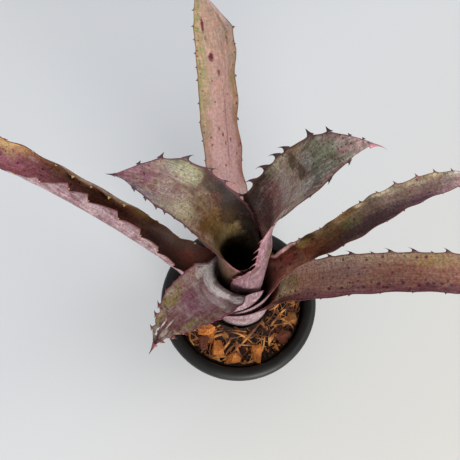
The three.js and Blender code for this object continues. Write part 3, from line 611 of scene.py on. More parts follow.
# The leaves, in millimetres and degrees. They lie where the frame has them, with finer margins:
#   azimuth the way it faces; radius of its sheath; collar the sheath's length; blade the rest
#   lift, sweep, roll: angle above level, sideways turn and roll, at the collar, half way and the tip
#   width half the width at the collar; swell how much wider half way; point how late each half tapers
#   flare how late the sheath leans out (3 if not given)
#   wrap how far round the sheath's edges reach; shoulder how soon; channel the section's curl
#   spines on each margin: (place along the blade, height, hook), place 0 at the collar and 1 at the tip
#   pale: long pale spines that stand on the sheath's margin; mucro: length, droop and turn of the
#   horn at the tip, which is pale too where the leaf has pale spines
#   trim: how the margin wanders in and out: (place, share of its usual width)
#   ripple: height and pitch of the waves of each margin; lobe: depth of its scallops, below zero
#   where they step out towards the tip
#   hug: how far the sheath's margins lean in; lip: how far the throat leans in, and where
#   nicks: (place, depth, width); holes: ((across, along), size)
LEAVES = {
    "leaf_upper_left": dict(
        azimuth=148, radius=11.6, collar=131, blade=72, lift=(89, 43, 15), sweep=(17, 33),
        roll=(-11, 20), width=17.5, swell=-0.1, point=(2.6, 4.2), wrap=(136, 124), shoulder=0.14,
        channel=(34, 14),
        spines={"right": [(-0.08, 1.8, 1.2), (0.03, 2.2, 1.3), (0.12, 2.4, 1.4), (0.2, 2.6, 1.5),
                          (0.28, 3.0, 1.6), (0.39, 3.2, 1.6), (0.49, 3.4, 1.6), (0.62, 3.9, 0.9),
                          (0.745, 3.2, 0.3), (0.855, 2.0, 0.4)],
                "left": [(-0.15, 1.4, 0.3), (-0.06, 1.2, 0.3), (0.03, 1.2, 0.3), (0.1, 0.9, 0.3),
                         (0.18, 1.1, 0.3), (0.25, 0.8, 0.3), (0.32, 1.1, 0.3), (0.4, 0.9, 0.3),
                         (0.47, 1.1, 0.3), (0.56, 0.8, 0.2), (0.64, 1.4, 0.2), (0.71, 1.8, 0.2),
                         (0.79, 1.7, 0.2), (0.87, 1.8, 0.2)]},
        mucro=(4.5, 0.1, 0.1),
        trim={"left": [(0.3, 1), (0.4, 0.94), (0.58, 0.95), (0.66, 1), (0.75, 1.03), (0.83, 0.95),
                       (0.89, 0.81), (0.94, 0.6), (1, 0.5)],
              "right": [(-0.1, 1), (0.03, 1.2), (0.1, 1.12), (0.2, 1.05), (0.35, 0.95), (0.5, 1.02),
                        (0.66, 1.01), (0.77, 0.9), (0.83, 0.82), (0.89, 0.7), (1, 0.5)]},
        ripple={"left": (0.25, 11), "right": (0.4, 12)}, lobe={"left": 0.2, "right": 0.5}),
    "leaf_upper_right": dict(
        azimuth=26, radius=14, collar=134, blade=82, lift=(89, 63, 17), sweep=(-6, -12), roll=(-27, 37),
        width=17.8, swell=0.12, point=(4.5, 1.2), wrap=(80, 140), shoulder=0.25, channel=(38, 14),
        spines={"left": [(-0.03, 3.2, 1.4), (0.05, 4.0, 1.6), (0.14, 4.8, 1.6), (0.25, 5.6, 1.7),
                         (0.365, 5.4, 1.6), (0.48, 4.8, 1.5), (0.56, 4.2, 1.2), (0.735, 3.6, 0.1),
                         (0.83, 2.8, 0.1), (0.91, 1.3, 0.3), (0.965, 0.9, 0.3)],
                "right": [(0.4, 1.0, 0.8), (0.476, 1.5, 1.0), (0.64, 1.0, 0.5), (0.75, 2.0, 0.9),
                          (0.86, 1.8, 0.7)]},
        pale={"right": [(-0.15, 2.4, 0.8), (-0.1, 3.4, 0.9), (-0.04, 3.0, 0.9), (0.03, 4.2, 1.0),
                        (0.1, 3.6, 0.9), (0.17, 3.8, 0.8), (0.26, 2.4, 0.8)]},
        mucro=(7.2, 0.4, 0.8),
        trim={"left": [(0.85, 1), (0.95, 0.85), (1, 0.7)],
              "right": [(-0.2, 1), (-0.03, 1.15), (0.0, 1.25), (0.05, 1.16), (0.12, 1.05), (0.2, 0.98),
                        (0.3, 1.05), (0.45, 0.95), (0.53, 1.05), (0.6, 1.1), (0.68, 1.03), (0.74, 0.9),
                        (0.79, 0.82), (0.84, 0.68), (0.89, 0.5), (1, 0.4)]},
        ripple={"left": (0.4, 13), "right": (0.3, 16)}, lobe={"left": 0.6, "right": 0.3}),
    "leaf_lower_left": dict(
        azimuth=229, radius=16.8, collar=97, blade=62, lift=(60, 46, -2), flare=12, sweep=(1, 8),
        roll=(-9, 6), width=18, swell=0.06, point=(1.9, 2.0), wrap=(110, 110), shoulder=0.5,
        channel=(32, 15),
        spines={"right": [(0.3, 0.8, 0.3), (0.38, 0.9, 0.3), (0.45, 1.1, 0.4), (0.53, 1.2, 0.4),
                          (0.62, 1.7, 0.5), (0.74, 3.0, 0.6), (0.81, 2.8, 0.6), (0.9, 2.2, 0.5)],
                "left": [(0.43, 0.9, 0.3), (0.51, 0.8, 0.3), (0.58, 1.1, 0.3), (0.69, 1.3, 0.4),
                         (0.78, 1.3, 0.4), (0.86, 2.0, 0.4), (0.94, 1.8, 0.4)]},
        mucro=(5.5, 0.0, -0.1),
        trim={"left": [(0.0, 1), (0.09, 1.08), (0.25, 1), (0.5, 0.96), (0.6, 0.94), (0.73, 0.99),
                       (0.81, 0.92), (0.86, 0.85), (0.9, 0.75), (0.95, 0.5), (1, 0.4)],
              "right": [(0.1, 1), (0.23, 1.05), (0.35, 0.98), (0.5, 1), (0.63, 1.08), (0.75, 1.02),
                        (0.82, 1), (0.88, 1.2), (1, 1.1)]},
        ripple={"left": (0.4, 9), "right": (0.5, 10)}, lobe={"left": 0.4, "right": 0.6},
        lip=(2.6, -0.04, 0.12, -0.3, 0.9),
        nicks={"left": [(0.83, 1.8, 1.2), (0.9, 1.2, 1.5)],
               "right": [(0.77, 1.3, 1.2), (0.86, 1.3, 1.4)]},
        holes=[((0.16, 0.82), 0.5), ((-0.2, 0.87), 0.6), ((-0.16, 0.905), 0.5), ((0.05, 0.86), 0.4)]),
    "leaf_right_back": dict(
        azimuth=10, radius=19.4, collar=74, blade=141, lift=(72, 19, -21), sweep=(15, -4), roll=(4, 0),
        width=8.8, swell=0, point=(4.4, 3.7), wrap=(60, 120), shoulder=0.6, channel=(38, 18),
        spines={"left": [(0.2, 0.8, 0.2), (0.3, 1.0, 0.2), (0.41, 1.1, 0.2), (0.48, 1.3, 0.3),
                         (0.55, 1.6, 0.3), (0.627, 2.6, 0.4), (0.71, 2.4, 0.4), (0.785, 2.4, 0.4),
                         (0.86, 2.0, 0.4), (0.93, 1.5, 0.4)],
                "right": [(0.35, 0.8, 0.2), (0.45, 0.7, 0.2), (0.53, 1.0, 0.2), (0.6, 0.7, 0.2),
                          (0.68, 0.9, 0.2), (0.77, 0.9, 0.2), (0.86, 0.9, 0.2)]},
        trim={"left": [(0.08, 1), (0.15, 0.97), (0.21, 0.84), (0.3, 0.7), (0.39, 0.78), (0.51, 0.9),
                       (0.57, 0.9), (0.65, 0.84), (0.76, 0.9), (0.82, 0.86), (0.9, 0.9), (1, 1)],
              "right": [(0.0, 1), (0.1, 0.78), (0.18, 0.76), (0.24, 0.9), (0.3, 1.08), (0.4, 1.24),
                        (0.5, 1.2), (0.57, 1.14), (0.63, 1.08), (0.73, 1.15), (0.82, 1.3), (0.9, 1.2),
                        (1, 1)]},
        ripple={"left": (1.2, 14), "right": (0.5, 17)}, lobe={"left": 0.9, "right": 0.4},
        hug={"right": 0.9}),
    "leaf_right": dict(
        azimuth=-9, radius=22, collar=58, blade=160, lift=(68, 17, -19), sweep=(6, 2), roll=(-2, 8),
        width=13.6, swell=-0.12, point=(5, 4.8), wrap=(60, 115), shoulder=0.6, channel=(27, 14),
        spines={"left": [(0.2, 2.0, 1.3), (0.268, 2.8, 1.5), (0.35, 3.0, 1.6), (0.42, 1.6, 1.4),
                         (0.48, 3.1, 1.5), (0.555, 3.3, 1.5), (0.61, 1.2, 1.2), (0.66, 3.0, 1.3),
                         (0.73, 2.8, 1.2), (0.8, 2.6, 1.1), (0.87, 2.2, 1.0), (0.93, 1.6, 0.8)],
                "right": [(0.15, 0.7, 0.5), (0.24, 0.8, 0.5), (0.34, 1.0, 0.6), (0.44, 0.9, 0.6),
                          (0.54, 1.1, 0.6), (0.64, 1.0, 0.6), (0.74, 1.2, 0.6), (0.84, 1.2, 0.6)]},
        trim={"left": [(0.2, 0.97), (0.3, 1.05), (0.45, 1.02), (0.6, 1.02), (0.67, 1.08), (0.8, 1)],
              "right": [(0.0, 0.95), (0.09, 0.9), (0.18, 1), (0.24, 1.04), (0.35, 0.95), (0.52, 0.9),
                        (0.59, 0.92), (0.67, 1.02), (0.8, 1)]},
        ripple={"left": (0.3, 17), "right": (0.4, 21)}, lobe={"left": 0.6, "right": 0.3},
        hug={"right": 1.9}),
    "leaf_back": dict(
        azimuth=99, radius=24.4, collar=75, blade=158, lift=(76, 29, -8), sweep=(-3, 11),
        roll=(-30, 24), width=13.4, swell=0, point=(5, 5.6), wrap=(42, 42), shoulder=0.6,
        channel=(47, 15),
        spines={"left": [(0.2, 0.8, 0.3), (0.27, 0.8, 0.3), (0.33, 0.9, 0.3), (0.4, 1.0, 0.3),
                         (0.47, 0.9, 0.3), (0.536, 1.1, 0.3), (0.616, 1.2, 0.3), (0.66, 1.0, 0.3),
                         (0.711, 1.3, 0.3), (0.76, 1.0, 0.3), (0.815, 1.5, 0.3), (0.88, 1.3, 0.3)],
                "right": [(0.2, 0.8, 0.3), (0.27, 0.9, 0.3), (0.34, 1.0, 0.3), (0.39, 0.9, 0.3),
                          (0.47, 1.2, 0.3), (0.54, 0.7, 0.3), (0.6, 0.9, 0.3), (0.7, 1.2, 0.3),
                          (0.76, 1.3, 0.3)]},
        trim={"left": [(0.3, 0.94), (0.4, 1), (0.47, 1.06), (0.55, 1.02), (0.7, 1.01), (0.8, 1.06),
                       (1, 1.05)],
              "right": [(0.26, 0.98), (0.35, 0.92), (0.45, 0.82), (0.55, 0.85), (0.63, 0.92),
                        (0.71, 1.05), (0.765, 1.17), (0.82, 0.93), (0.88, 0.72), (0.95, 0.5),
                         (1, 0.4)]},
        ripple={"left": (0.5, 19), "right": (0.7, 23)}, lobe={"left": 0.4, "right": 0.6}),
    "leaf_left": dict(
        azimuth=169, radius=22, collar=57, blade=197, lift=(70, 20, -17), sweep=(-14, -3),
        roll=(23, -1), width=13.3, swell=0.38, point=(5.3, 5.2), wrap=(60, 50), shoulder=0.6,
        channel=(109, 39),
        spines={"right": [(0.114, 1.0, 0.4), (0.18, 1.5, 0.4), (0.27, 1.6, 0.4), (0.31, 1.5, 0.4),
                          (0.38, 2.6, 0.2), (0.423, 2.6, 0.2), (0.47, 1.6, 0.3), (0.521, 2.6, 0.2),
                          (0.57, 1.6, 0.4), (0.64, 1.7, 0.4), (0.72, 1.9, 0.4), (0.8, 1.7, 0.4),
                          (0.88, 1.5, 0.4)],
                "left": [(0.12, 0.7, 0.3), (0.177, 0.8, 0.3), (0.246, 0.8, 0.3), (0.31, 0.9, 0.3),
                         (0.378, 0.9, 0.3), (0.46, 0.9, 0.3), (0.51, 0.8, 0.3), (0.58, 0.8, 0.3),
                         (0.65, 0.8, 0.3), (0.73, 1.0, 0.3), (0.82, 1.0, 0.3), (0.9, 1.0, 0.3)]},
        trim={"left": [(0.0, 1), (0.1, 0.95), (0.2, 0.86), (0.28, 0.92), (0.36, 0.98), (0.45, 0.92),
                       (0.52, 0.92), (0.58, 0.75), (0.64, 0.58), (0.7, 0.5), (0.8, 0.65), (0.9, 0.95),
                       (1, 1)],
              "right": [(-0.6, 1), (-0.2, 1.5), (0.0, 1.5), (0.06, 1.15), (0.12, 0.95), (0.16, 0.82),
                        (0.2, 0.74), (0.27, 0.85), (0.33, 1.05), (0.4, 1.14), (0.55, 1.1), (0.62, 1)]},
        ripple={"left": (0.5, 14), "right": (0.6, 21)}, lobe={"left": -4.5, "right": -1.5}),
    "leaf_heart": dict(
        azimuth=-80, radius=7.6, collar=104, blade=14, lift=(90, 80, 70), sweep=(0, 0), roll=(0, 0),
        width=6.5, swell=0, point=(2, 2), wrap=(110, 110), shoulder=0.6, channel=(40, 30), spines={},
        ripple={}, lobe={}),
}
ROWS_EVERY = 0.8  # millimetres between the rows of a leaf's grid
ACROSS = 32  # strips across a leaf
LEAF_THICKNESS = 1.4
SIDES = {"left": 1, "right": -1}
HORN, PALE_HORN = 2, 3  # where a leaf's material slots hold its spines' materials


def leaf_rows(leaf, distances):
    """The midrib's places and directions, and the section's curve, at each distance from the foot."""
    in_sheath = distances < leaf["collar"]
    t = np.clip((distances - leaf["collar"]) / leaf["blade"], 0, 1)
    k = np.clip(distances / leaf["collar"], 0, 1)
    along = np.where(in_sheath, k - 1, t)
    lean = (leaf["lift"][0] - 90) * k ** leaf.get("flare", 3)
    lift = np.radians(np.where(in_sheath, 90 + lean, through(leaf["lift"], t)))
    bearing = np.radians(leaf["azimuth"] + through((0, *leaf["sweep"]), t))
    roll = np.radians(through((0, *leaf["roll"]), t))
    level = np.cos(lift)
    forward = np.stack([level * np.cos(bearing), level * np.sin(bearing), np.sin(lift)], 1)
    side = np.stack([-np.sin(bearing), np.cos(bearing), 0 * bearing], 1)
    upper = np.cross(forward, side)
    turn, rise = np.cos(roll)[:, None], np.sin(roll)[:, None]
    side, upper = side * turn + upper * rise, upper * turn - side * rise
    steps = (forward[1:] + forward[:-1]) / 2 * np.diff(distances)[:, None]
    start = np.array([math.cos(bearing[0]), math.sin(bearing[0]), 0]) * leaf["radius"]
    start += np.array([PLANT.x / MM, PLANT.y / MM, LEAF_FOOT / MM])
    centre = start + np.vstack([np.zeros(3), np.cumsum(steps, 0)])
    at_collar = leaf["width"] / leaf["radius"]
    ramp = np.sin(np.clip((1 - k) / leaf["shoulder"], 0, 1) * math.pi / 2)
    curl = np.maximum(0.05, through((at_collar, *np.radians(leaf["channel"])), t))
    body = 1 + leaf["swell"] * np.sin(math.pi * t)
    reach = {}
    for name, wrap, late in zip(SIDES, np.radians(leaf["wrap"]), leaf["point"]):
        blade_reach = curl * body * np.maximum(1e-4, 1 - t**late) ** 0.9
        reach[name] = np.where(in_sheath, at_collar + (wrap - at_collar) * ramp, blade_reach)
        if name in leaf.get("trim", {}):
            places, shares = zip(*leaf["trim"][name])
            reach[name] = reach[name] * np.interp(along, places, shares, left=1, right=shares[-1])
    radius = np.where(in_sheath, leaf["radius"], leaf["width"] / curl)
    return dict(centre=centre, forward=forward, side=side, upper=upper, reach=reach, radius=radius,
                along=along, t=t)


def at_margin(rows, index, sign):
    """The place, outward and upper directions of a margin at a row."""
    name = "left" if sign > 0 else "right"
    angle = sign * rows["reach"][name][index]
    side, upper, radius = rows["side"][index], rows["upper"][index], rows["radius"][index]
    spoke = side * math.sin(angle) - upper * math.cos(angle)
    point = rows["centre"][index] + upper * radius + spoke * radius
    outward = (side * math.cos(angle) + upper * math.sin(angle)) * sign
    face = (upper * math.cos(angle) - side * math.sin(angle)) * sign
    return point, outward, face


def place_distance(leaf, place):
    """Distance from the foot of a place given as -1 to 0 on the sheath, 0 to 1 on the blade."""
    return leaf["collar"] * (1 + place) if place < 0 else leaf["collar"] + place * leaf["blade"]


def margin_outline(leaf, name, distances):
    """How far the margin stands out at each row: swellings under spines, scallops between, nicks."""
    out = np.zeros_like(distances)
    spines = [(place_distance(leaf, place), tall) for place, tall, _ in leaf["spines"].get(name, [])]
    for distance, tall in spines:
        offset = distances - distance
        width = np.where(offset < 0, 0.5, 0.8) * (0.8 + 0.6 * tall)
        out += 0.3 * tall * np.exp(-((offset / width) ** 2))
    depth = leaf["lobe"].get(name, 0)
    for (here, _), (after, _) in zip(spines, spines[1:]):
        share = (distances - here) / (after - here)
        inside = (share > 0) & (share < 1)
        if depth < 0:
            share = 1 - share
        rise = np.where(inside, np.clip(share, 0, 1) ** 0.8 * np.clip((1 - share) / 0.14, 0, 1), 0)
        out += abs(depth) * (rise - 0.35 * inside)
    for place, deep, width in leaf.get("nicks", {}).get(name, []):
        offset = np.abs(distances - place_distance(leaf, place))
        out -= deep * np.clip(1 - offset / width, 0, 1)
    return out


def spine_template():
    """A straight claw one unit tall on a long flat root, with its height in its UVs."""
    bm = bmesh.new()
    bmesh.ops.create_circle(bm, cap_ends=True, segments=8, radius=0.5)
    heights = [0.0, 0.14, 0.32, 0.52, 0.74, 0.9, 1.0]
    girths = [1.0, 0.74, 0.46, 0.28, 0.16, 0.08, 0.01]
    edges = bm.edges[:]
    for i in range(1, len(heights)):
        grown = bmesh.ops.extrude_edge_only(bm, edges=edges)["geom"]
        ring = [item for item in grown if isinstance(item, bmesh.types.BMVert)]
        edges = [item for item in grown if isinstance(item, bmesh.types.BMEdge)]
        for vert in ring:
            vert.co.xy *= girths[i] / girths[i - 1]
            vert.co.z = heights[i]
    bmesh.ops.pointmerge(bm, verts=ring, merge_co=Vector((0, 0, 1.0)))
    bmesh.ops.recalc_face_normals(bm, faces=bm.faces[:])
    bm.loops.layers.uv.new("skin")
    place = bm.loops.layers.uv.new("place")
    for face in bm.faces:
        for loop in face.loops:
            loop[place].uv = (2.0, loop.vert.co.z)
    return mesh_from(bm, "spine_template")


SPINE = spine_template()


def add_claw(bm, root, axes, size, hook, material_index):
    """One claw at root; axes are its thin way, foot-to-tip way and up; it bends along the second."""
    old_verts, old_faces = len(bm.verts), len(bm.faces)
    bm.from_mesh(SPINE)
    bm.verts.ensure_lookup_table()
    bm.faces.ensure_lookup_table()
    thick, long, tall = size
    for vert in bm.verts[old_verts:]:
        x, y, z = vert.co
        bend = hook * tall * (0.25 * z + 0.55 * z**2.4)
        vert.co = (x * thick, y * long - bend, tall * (z - 0.16 * hook * z * z))
    frame_axes = Matrix([Vector(axis) for axis in axes]).transposed().to_4x4()
    transform = Matrix.Translation(Vector(root) * MM) @ frame_axes @ Matrix.Scale(MM, 4)
    bmesh.ops.transform(bm, matrix=transform, verts=bm.verts[old_verts:])
    for added in bm.faces[old_faces:]:
        added.material_index = material_index


def add_spines(bm, rows, distances, leaf, kind, material_index):
    """The claws along both margins, roots sunk in the leaf, hooked towards its foot."""
    for name, sign in SIDES.items():
        for place, tall, hook in leaf.get(kind, {}).get(name, []):
            index = int(np.argmin(np.abs(distances - place_distance(leaf, place))))
            point, outward, face = at_margin(rows, index, sign)
            root = point + outward * (rows["out"][sign][index] - 0.25 * tall ** 0.5)
            long = (0.6 if kind == "pale" else 1.0) * (1.0 + 0.85 * tall)
            size = (min(1.1, 0.6 + 0.12 * tall), long, tall + 0.3)
            add_claw(bm, root, (face, rows["forward"][index], outward), size, hook, material_index)


def add_mucro(bm, rows, leaf, distances):
    """The horn that draws the leaf's tip out to a point."""
    long, droop, turn = leaf["mucro"]
    index = int(np.argmin(np.abs(distances - place_distance(leaf, 0.985))))
    forward, side, upper = (rows[key][index] for key in ("forward", "side", "upper"))
    bend = -upper * droop - side * turn
    back = -bend / max(1e-6, np.linalg.norm(bend))
    thin = np.cross(back, forward)
    hook = min(1.0, math.hypot(droop, turn))
    axes = (thin, back, forward)
    material_index = PALE_HORN if "pale" in leaf else HORN
    add_claw(bm, rows["centre"][index] - forward * 0.6, axes, (1.9, 3.2, long), hook, material_index)


def shape_leaf(name, leaf):
    """The leaf's mesh: a grid laid along the midrib, thickened, with spines along its margins."""
    total = leaf["collar"] + leaf["blade"]
    row_count = int(total / ROWS_EVERY)
    distances = np.linspace(0, total, row_count + 1)
    rows = leaf_rows(leaf, distances)
    outline = {side: margin_outline(leaf, side, distances) for side in SIDES}
    rows["out"] = {1: outline["left"], -1: outline["right"]}
    lip_depth, lip_along, lip_length, lip_across, lip_width = leaf.get("lip", (0, 0, 1, 0, 1))

    bm = bmesh.new()
    bmesh.ops.create_grid(bm, x_segments=ACROSS, y_segments=row_count, size=0.5)
    skin = bm.loops.layers.uv.new("skin")
    place = bm.loops.layers.uv.new("place")
    thin = bm.verts.layers.deform.verify()
    spots = {}
    for vert in bm.verts:
        across = math.sin(vert.co.x * math.pi)
        index = round((vert.co.y + 0.5) * row_count)
        side = "left" if across > 0 else "right"
        sign = SIDES[side]
        reach, radius, t = rows["reach"][side][index], rows["radius"][index], rows["t"][index]
        angle = across * reach
        beside, above = rows["side"][index], rows["upper"][index]
        outward = beside * math.sin(angle) - above * math.cos(angle)
        point = rows["centre"][index] + above * radius + outward * radius
        edge = abs(across)
        fullness = min(1.0, (1 - t) * 6)
        stand = outline[side][index] * max(0.0, (edge - 0.72) / 0.28) ** 2
        edgeways = (beside * math.cos(angle) + above * math.sin(angle)) * sign
        wave = 0.0
        if side in leaf["ripple"]:
            height, pitch = leaf["ripple"][side]
            wave = height * edge**3 * math.sin(2 * math.pi * distances[index] / pitch + sign)
            wave *= fullness * min(1.0, max(0.0, t * 8))
        along = rows["along"][index]
        hug = leaf.get("hug", {}).get(side, 0) * max(0.0, min(1.0, (edge - 0.35) * 2.2))
        hug *= min(1.0, max(0.0, -along * 9))
        along_lip, across_lip = (along - lip_along) / lip_length, (across - lip_across) / lip_width
        lean = hug + lip_depth * math.exp(-along_lip ** 2 - across_lip ** 4)
        point = point + edgeways * stand * fullness - outward * (wave + lean)
        vert.co = Vector(point) * MM
        spots[vert] = ((across * reach * radius * MM, distances[index] * MM), (across, along))
        # The share of the full thickness: less at the margins and towards the tip.
        vert[thin][0] = max(0.22, (1 - 0.8 * edge**5)) * (1 - 0.5 * t)
    for face in bm.faces:
        for loop in face.loops:
            loop[skin].uv, loop[place].uv = spots[loop.vert]
    for hole in leaf.get("holes", []):
        cut_hole(bm, spots, leaf, hole)
    bmesh.ops.recalc_face_normals(bm, faces=bm.faces[:])

    def from_middle(face):
        across, along = spots[face.verts[0]][1]
        return abs(across) + abs(along - 0.5)

    middle = min(bm.faces, key=from_middle)
    upwards = Vector(rows["upper"][int(np.argmin(np.abs(rows["along"] - 0.5)))])
    if middle.normal.dot(upwards) < 0:
        bmesh.ops.reverse_faces(bm, faces=bm.faces[:])
    mesh = thicken(name, mesh_from(bm, name + "_sheet"))

    bm = bmesh.new()
    bm.from_mesh(mesh)
    add_spines(bm, rows, distances, leaf, "spines", HORN)
    add_spines(bm, rows, distances, leaf, "pale", PALE_HORN)
    if "mucro" in leaf:
        add_mucro(bm, rows, leaf, distances)
    bm.to_mesh(mesh)
    bm.free()
    return mesh


def cut_hole(bm, spots, leaf, hole):
    """Takes the faces out of a small ragged patch, given by its place and size."""
    (across, along), size = hole
    doomed = []
    for face in bm.faces:
        (wide, far), _ = spots[face.verts[0]]
        middle = (leaf["collar"] + along * leaf["blade"]) * MM
        if math.hypot(wide - across * leaf["width"] * MM, (far - middle) * 0.6) < size * MM:
            doomed.append(face)
    bmesh.ops.delete(bm, geom=doomed, context="FACES")


def thicken(name, sheet):
    """The sheet as a closed solid, thinner at its margins and tip."""
    holder = add_object(name + "_sheet", sheet)
    holder.vertex_groups.new(name="thickness")
    solidify = holder.modifiers.new("thickness", "SOLIDIFY")
    solidify.thickness = LEAF_THICKNESS * MM
    solidify.offset = 0.0
    solidify.vertex_group = "thickness"
    solidify.material_offset = 1
    solidify.material_offset_rim = 0
    for _ in range(3):
        sheet.materials.append(None)
    mesh = applied_mesh(holder)
    faces = [polygon.material_index for polygon in mesh.polygons]
    mesh.materials.clear()
    mesh.polygons.foreach_set("material_index", faces)
    mesh.name = name
    bpy.data.objects.remove(holder)
    bpy.data.meshes.remove(sheet)
    return mesh


def make_leaves():
    finishes = leaf_finishes()
    for name, leaf in LEAVES.items():
        link_piece(name + "_looks", shape_leaf(name, leaf), finishes[name], [name])


# ------------------------------------------------------------------ pot


def pot_finish():
    material, tree, shader = new_material("pot_plastic")
    spot = node(tree, "TexCoord").outputs["Object"]
    dust = fade(tree, cloud(tree, spot, 45.0, 5.0, 0.65), 0.45, 0.75)
    grain = cloud(tree, spot, 2200.0, 2.0, 0.5)
    colour = mix(tree, times(tree, dust, 0.2), rgb(15, 15, 14), rgb(50, 48, 44))
    rough = scale_add(tree, dust, 0.2, scale_add(tree, grain, 0.1, 0.38))
    finish_shader(tree, shader, colour, rough, grain, bump_depth=0.00006, bump_strength=0.6)
    shader.inputs["Specular IOR Level"].default_value = POT_SHINE
    return material


def make_pot():
    """The nursery pot, turned from one closed profile: outside, rolled rim, then inside."""
    low, high = pot_low.z, pot_high.z
    rim_width, wall = 8.5 * MM, 1.6 * MM
    foot = RIM_RADIUS - 17 * MM
    rim_middle, rim_level = RIM_RADIUS - rim_width / 2, high - 5 * MM
    neck = RIM_RADIUS - rim_width + wall * 0.6
    profile = [(0, low), (0.012, low), (0.013, low + 0.0015), (foot - 0.005, low + 0.0015),
               (foot - 0.004, low), (foot - 0.0012, low), (foot - 0.0003, low + 0.0004),
               (foot, low + 0.0014)]
    profile += [(foot + (neck - foot) * i / 8, low + 0.0014 + (high - 0.013 - low) * i / 8)
                for i in range(1, 8)]
    profile += [(neck, high - 0.0105), (neck + 0.0004, high - 0.0100)]
    for i in range(7):
        angle = math.radians(165 - 150 * i / 6)
        profile.append((rim_middle + (rim_width / 2 - wall) * math.cos(angle),
                        rim_level + 0.0034 * math.sin(angle)))
    profile += [(RIM_RADIUS - wall, high - 0.009), (RIM_RADIUS - wall / 2, high - 0.0094),
                (RIM_RADIUS, high - 0.0088)]
    for i in range(17):
        angle = math.radians(180 * i / 16)
        profile.append((rim_middle + rim_width / 2 * math.cos(angle),
                        rim_level + 0.005 * math.sin(angle)))
    floor_top = low + 0.0031
    lean = RIM_RADIUS - rim_width - foot + wall
    profile += [(foot - wall + lean * share, floor_top + (high - 0.01) * share)
                for share in (0.85, 0.6, 0.3)]
    profile += [(foot - wall, floor_top + 0.001), (foot - wall - 0.001, floor_top), (0, floor_top)]
    bm = bmesh.new()
    verts = [bm.verts.new((radius, 0, height)) for radius, height in profile]
    edges = [bm.edges.new(pair) for pair in zip(verts, verts[1:])]
    bmesh.ops.spin(bm, geom=verts + edges, cent=(0, 0, 0), axis=(0, 0, 1), angle=2 * math.pi,
                   steps=144, use_merge=True, use_duplicate=False)
    bmesh.ops.remove_doubles(bm, verts=bm.verts[:], dist=1e-6)
    bmesh.ops.recalc_face_normals(bm, faces=bm.faces[:])
    mesh = drill(mesh_from(bm, "pot_body"), floor_top)
    link_piece("nursery_pot", mesh, [pot_finish()], ["pot"])


DRAIN_HOLES = 6
DRAIN_RING, DRAIN_RADIUS = 0.022, 0.0035  # from the pot's axis, and of each hole


def drill(body, floor_top):
    """Cuts the drainage holes through the pot's floor."""
    bm = bmesh.new()
    for i in range(DRAIN_HOLES):
        angle = math.radians(360 / DRAIN_HOLES * i)
        place = (DRAIN_RING * math.cos(angle), DRAIN_RING * math.sin(angle), floor_top / 2)
        bmesh.ops.create_cone(bm, cap_ends=True, segments=32, radius1=DRAIN_RADIUS,
                              radius2=DRAIN_RADIUS, depth=0.01, matrix=Matrix.Translation(place))
    cutter = add_object("drain_cutters", mesh_from(bm, "drain_cutters"))
    holder = add_object("pot_body", body)
    cut = holder.modifiers.new("drain", "BOOLEAN")
    cut.operation = "DIFFERENCE"
    cut.solver = "EXACT"
    cut.object = cutter
    mesh = applied_mesh(holder)
    for made in (holder, cutter):
        bpy.data.objects.remove(made)
    return mesh


# ------------------------------------------------------------------ growing mix


def husk_finish(name, light, deep):
    """Spongy coconut husk: cork between pale fibres."""
    material, tree, shader = new_material(name)
    spot = node(tree, "TexCoord").outputs["Object"]
    big = cloud(tree, spot, 90.0, 4.0, 0.6)
    inputs = {"Vector": spot, "Across": 1500.0, "Along": 180.0}
    fibres = use_group(tree, LINES, inputs).outputs["Height"]
    pores = cloud(tree, spot, 1400.0, 4.0, 0.7)
    colour = gradient(tree, scale_add(tree, fibres, 0.5, times(tree, big, 0.5)),
                      [(0.34, deep), (0.6, light)])
    shade = gradient(tree, pores, [(0.35, (0.45, 0.4, 0.36, 1)), (0.62, (1, 1, 1, 1))])
    colour = mix(tree, 0.8, colour, shade, "MULTIPLY")
    height = plus(tree, times(tree, fibres, 0.8), times(tree, pores, 0.5))
    rough = scale_add(tree, pores, 0.1, 0.82)
    finish_shader(tree, shader, colour, rough, height, bump_depth=0.0006, bump_strength=0.9)
    return material


BED_DEPTH = 12 * MM
STEM_CLEARANCE = 23.4  # millimetres from the plant's middle to the bed's inner edge
STRAND_CLEARANCE = 23.5  # the same, to the nearest loose fibre
LOOSE_CHIPS = 110
CRUMBS = 1500
STRANDS = 230


def bed_point(turn, share, drop):
    """A place on the bed: turn round it, share of the way from the plant out to the pot, depth."""
    direction = Vector((math.cos(turn), math.sin(turn), 0))
    behind = max(0.0, math.cos(turn - math.radians(LEAVES["leaf_back"]["azimuth"]))) ** 2
    inner = PLANT + direction * (STEM_CLEARANCE + 2.4 * behind) * MM
    outer = direction * (mix_high.x - 0.2 * MM)
    return inner.lerp(outer, share) + Vector((0, 0, MIX_TOP - drop))


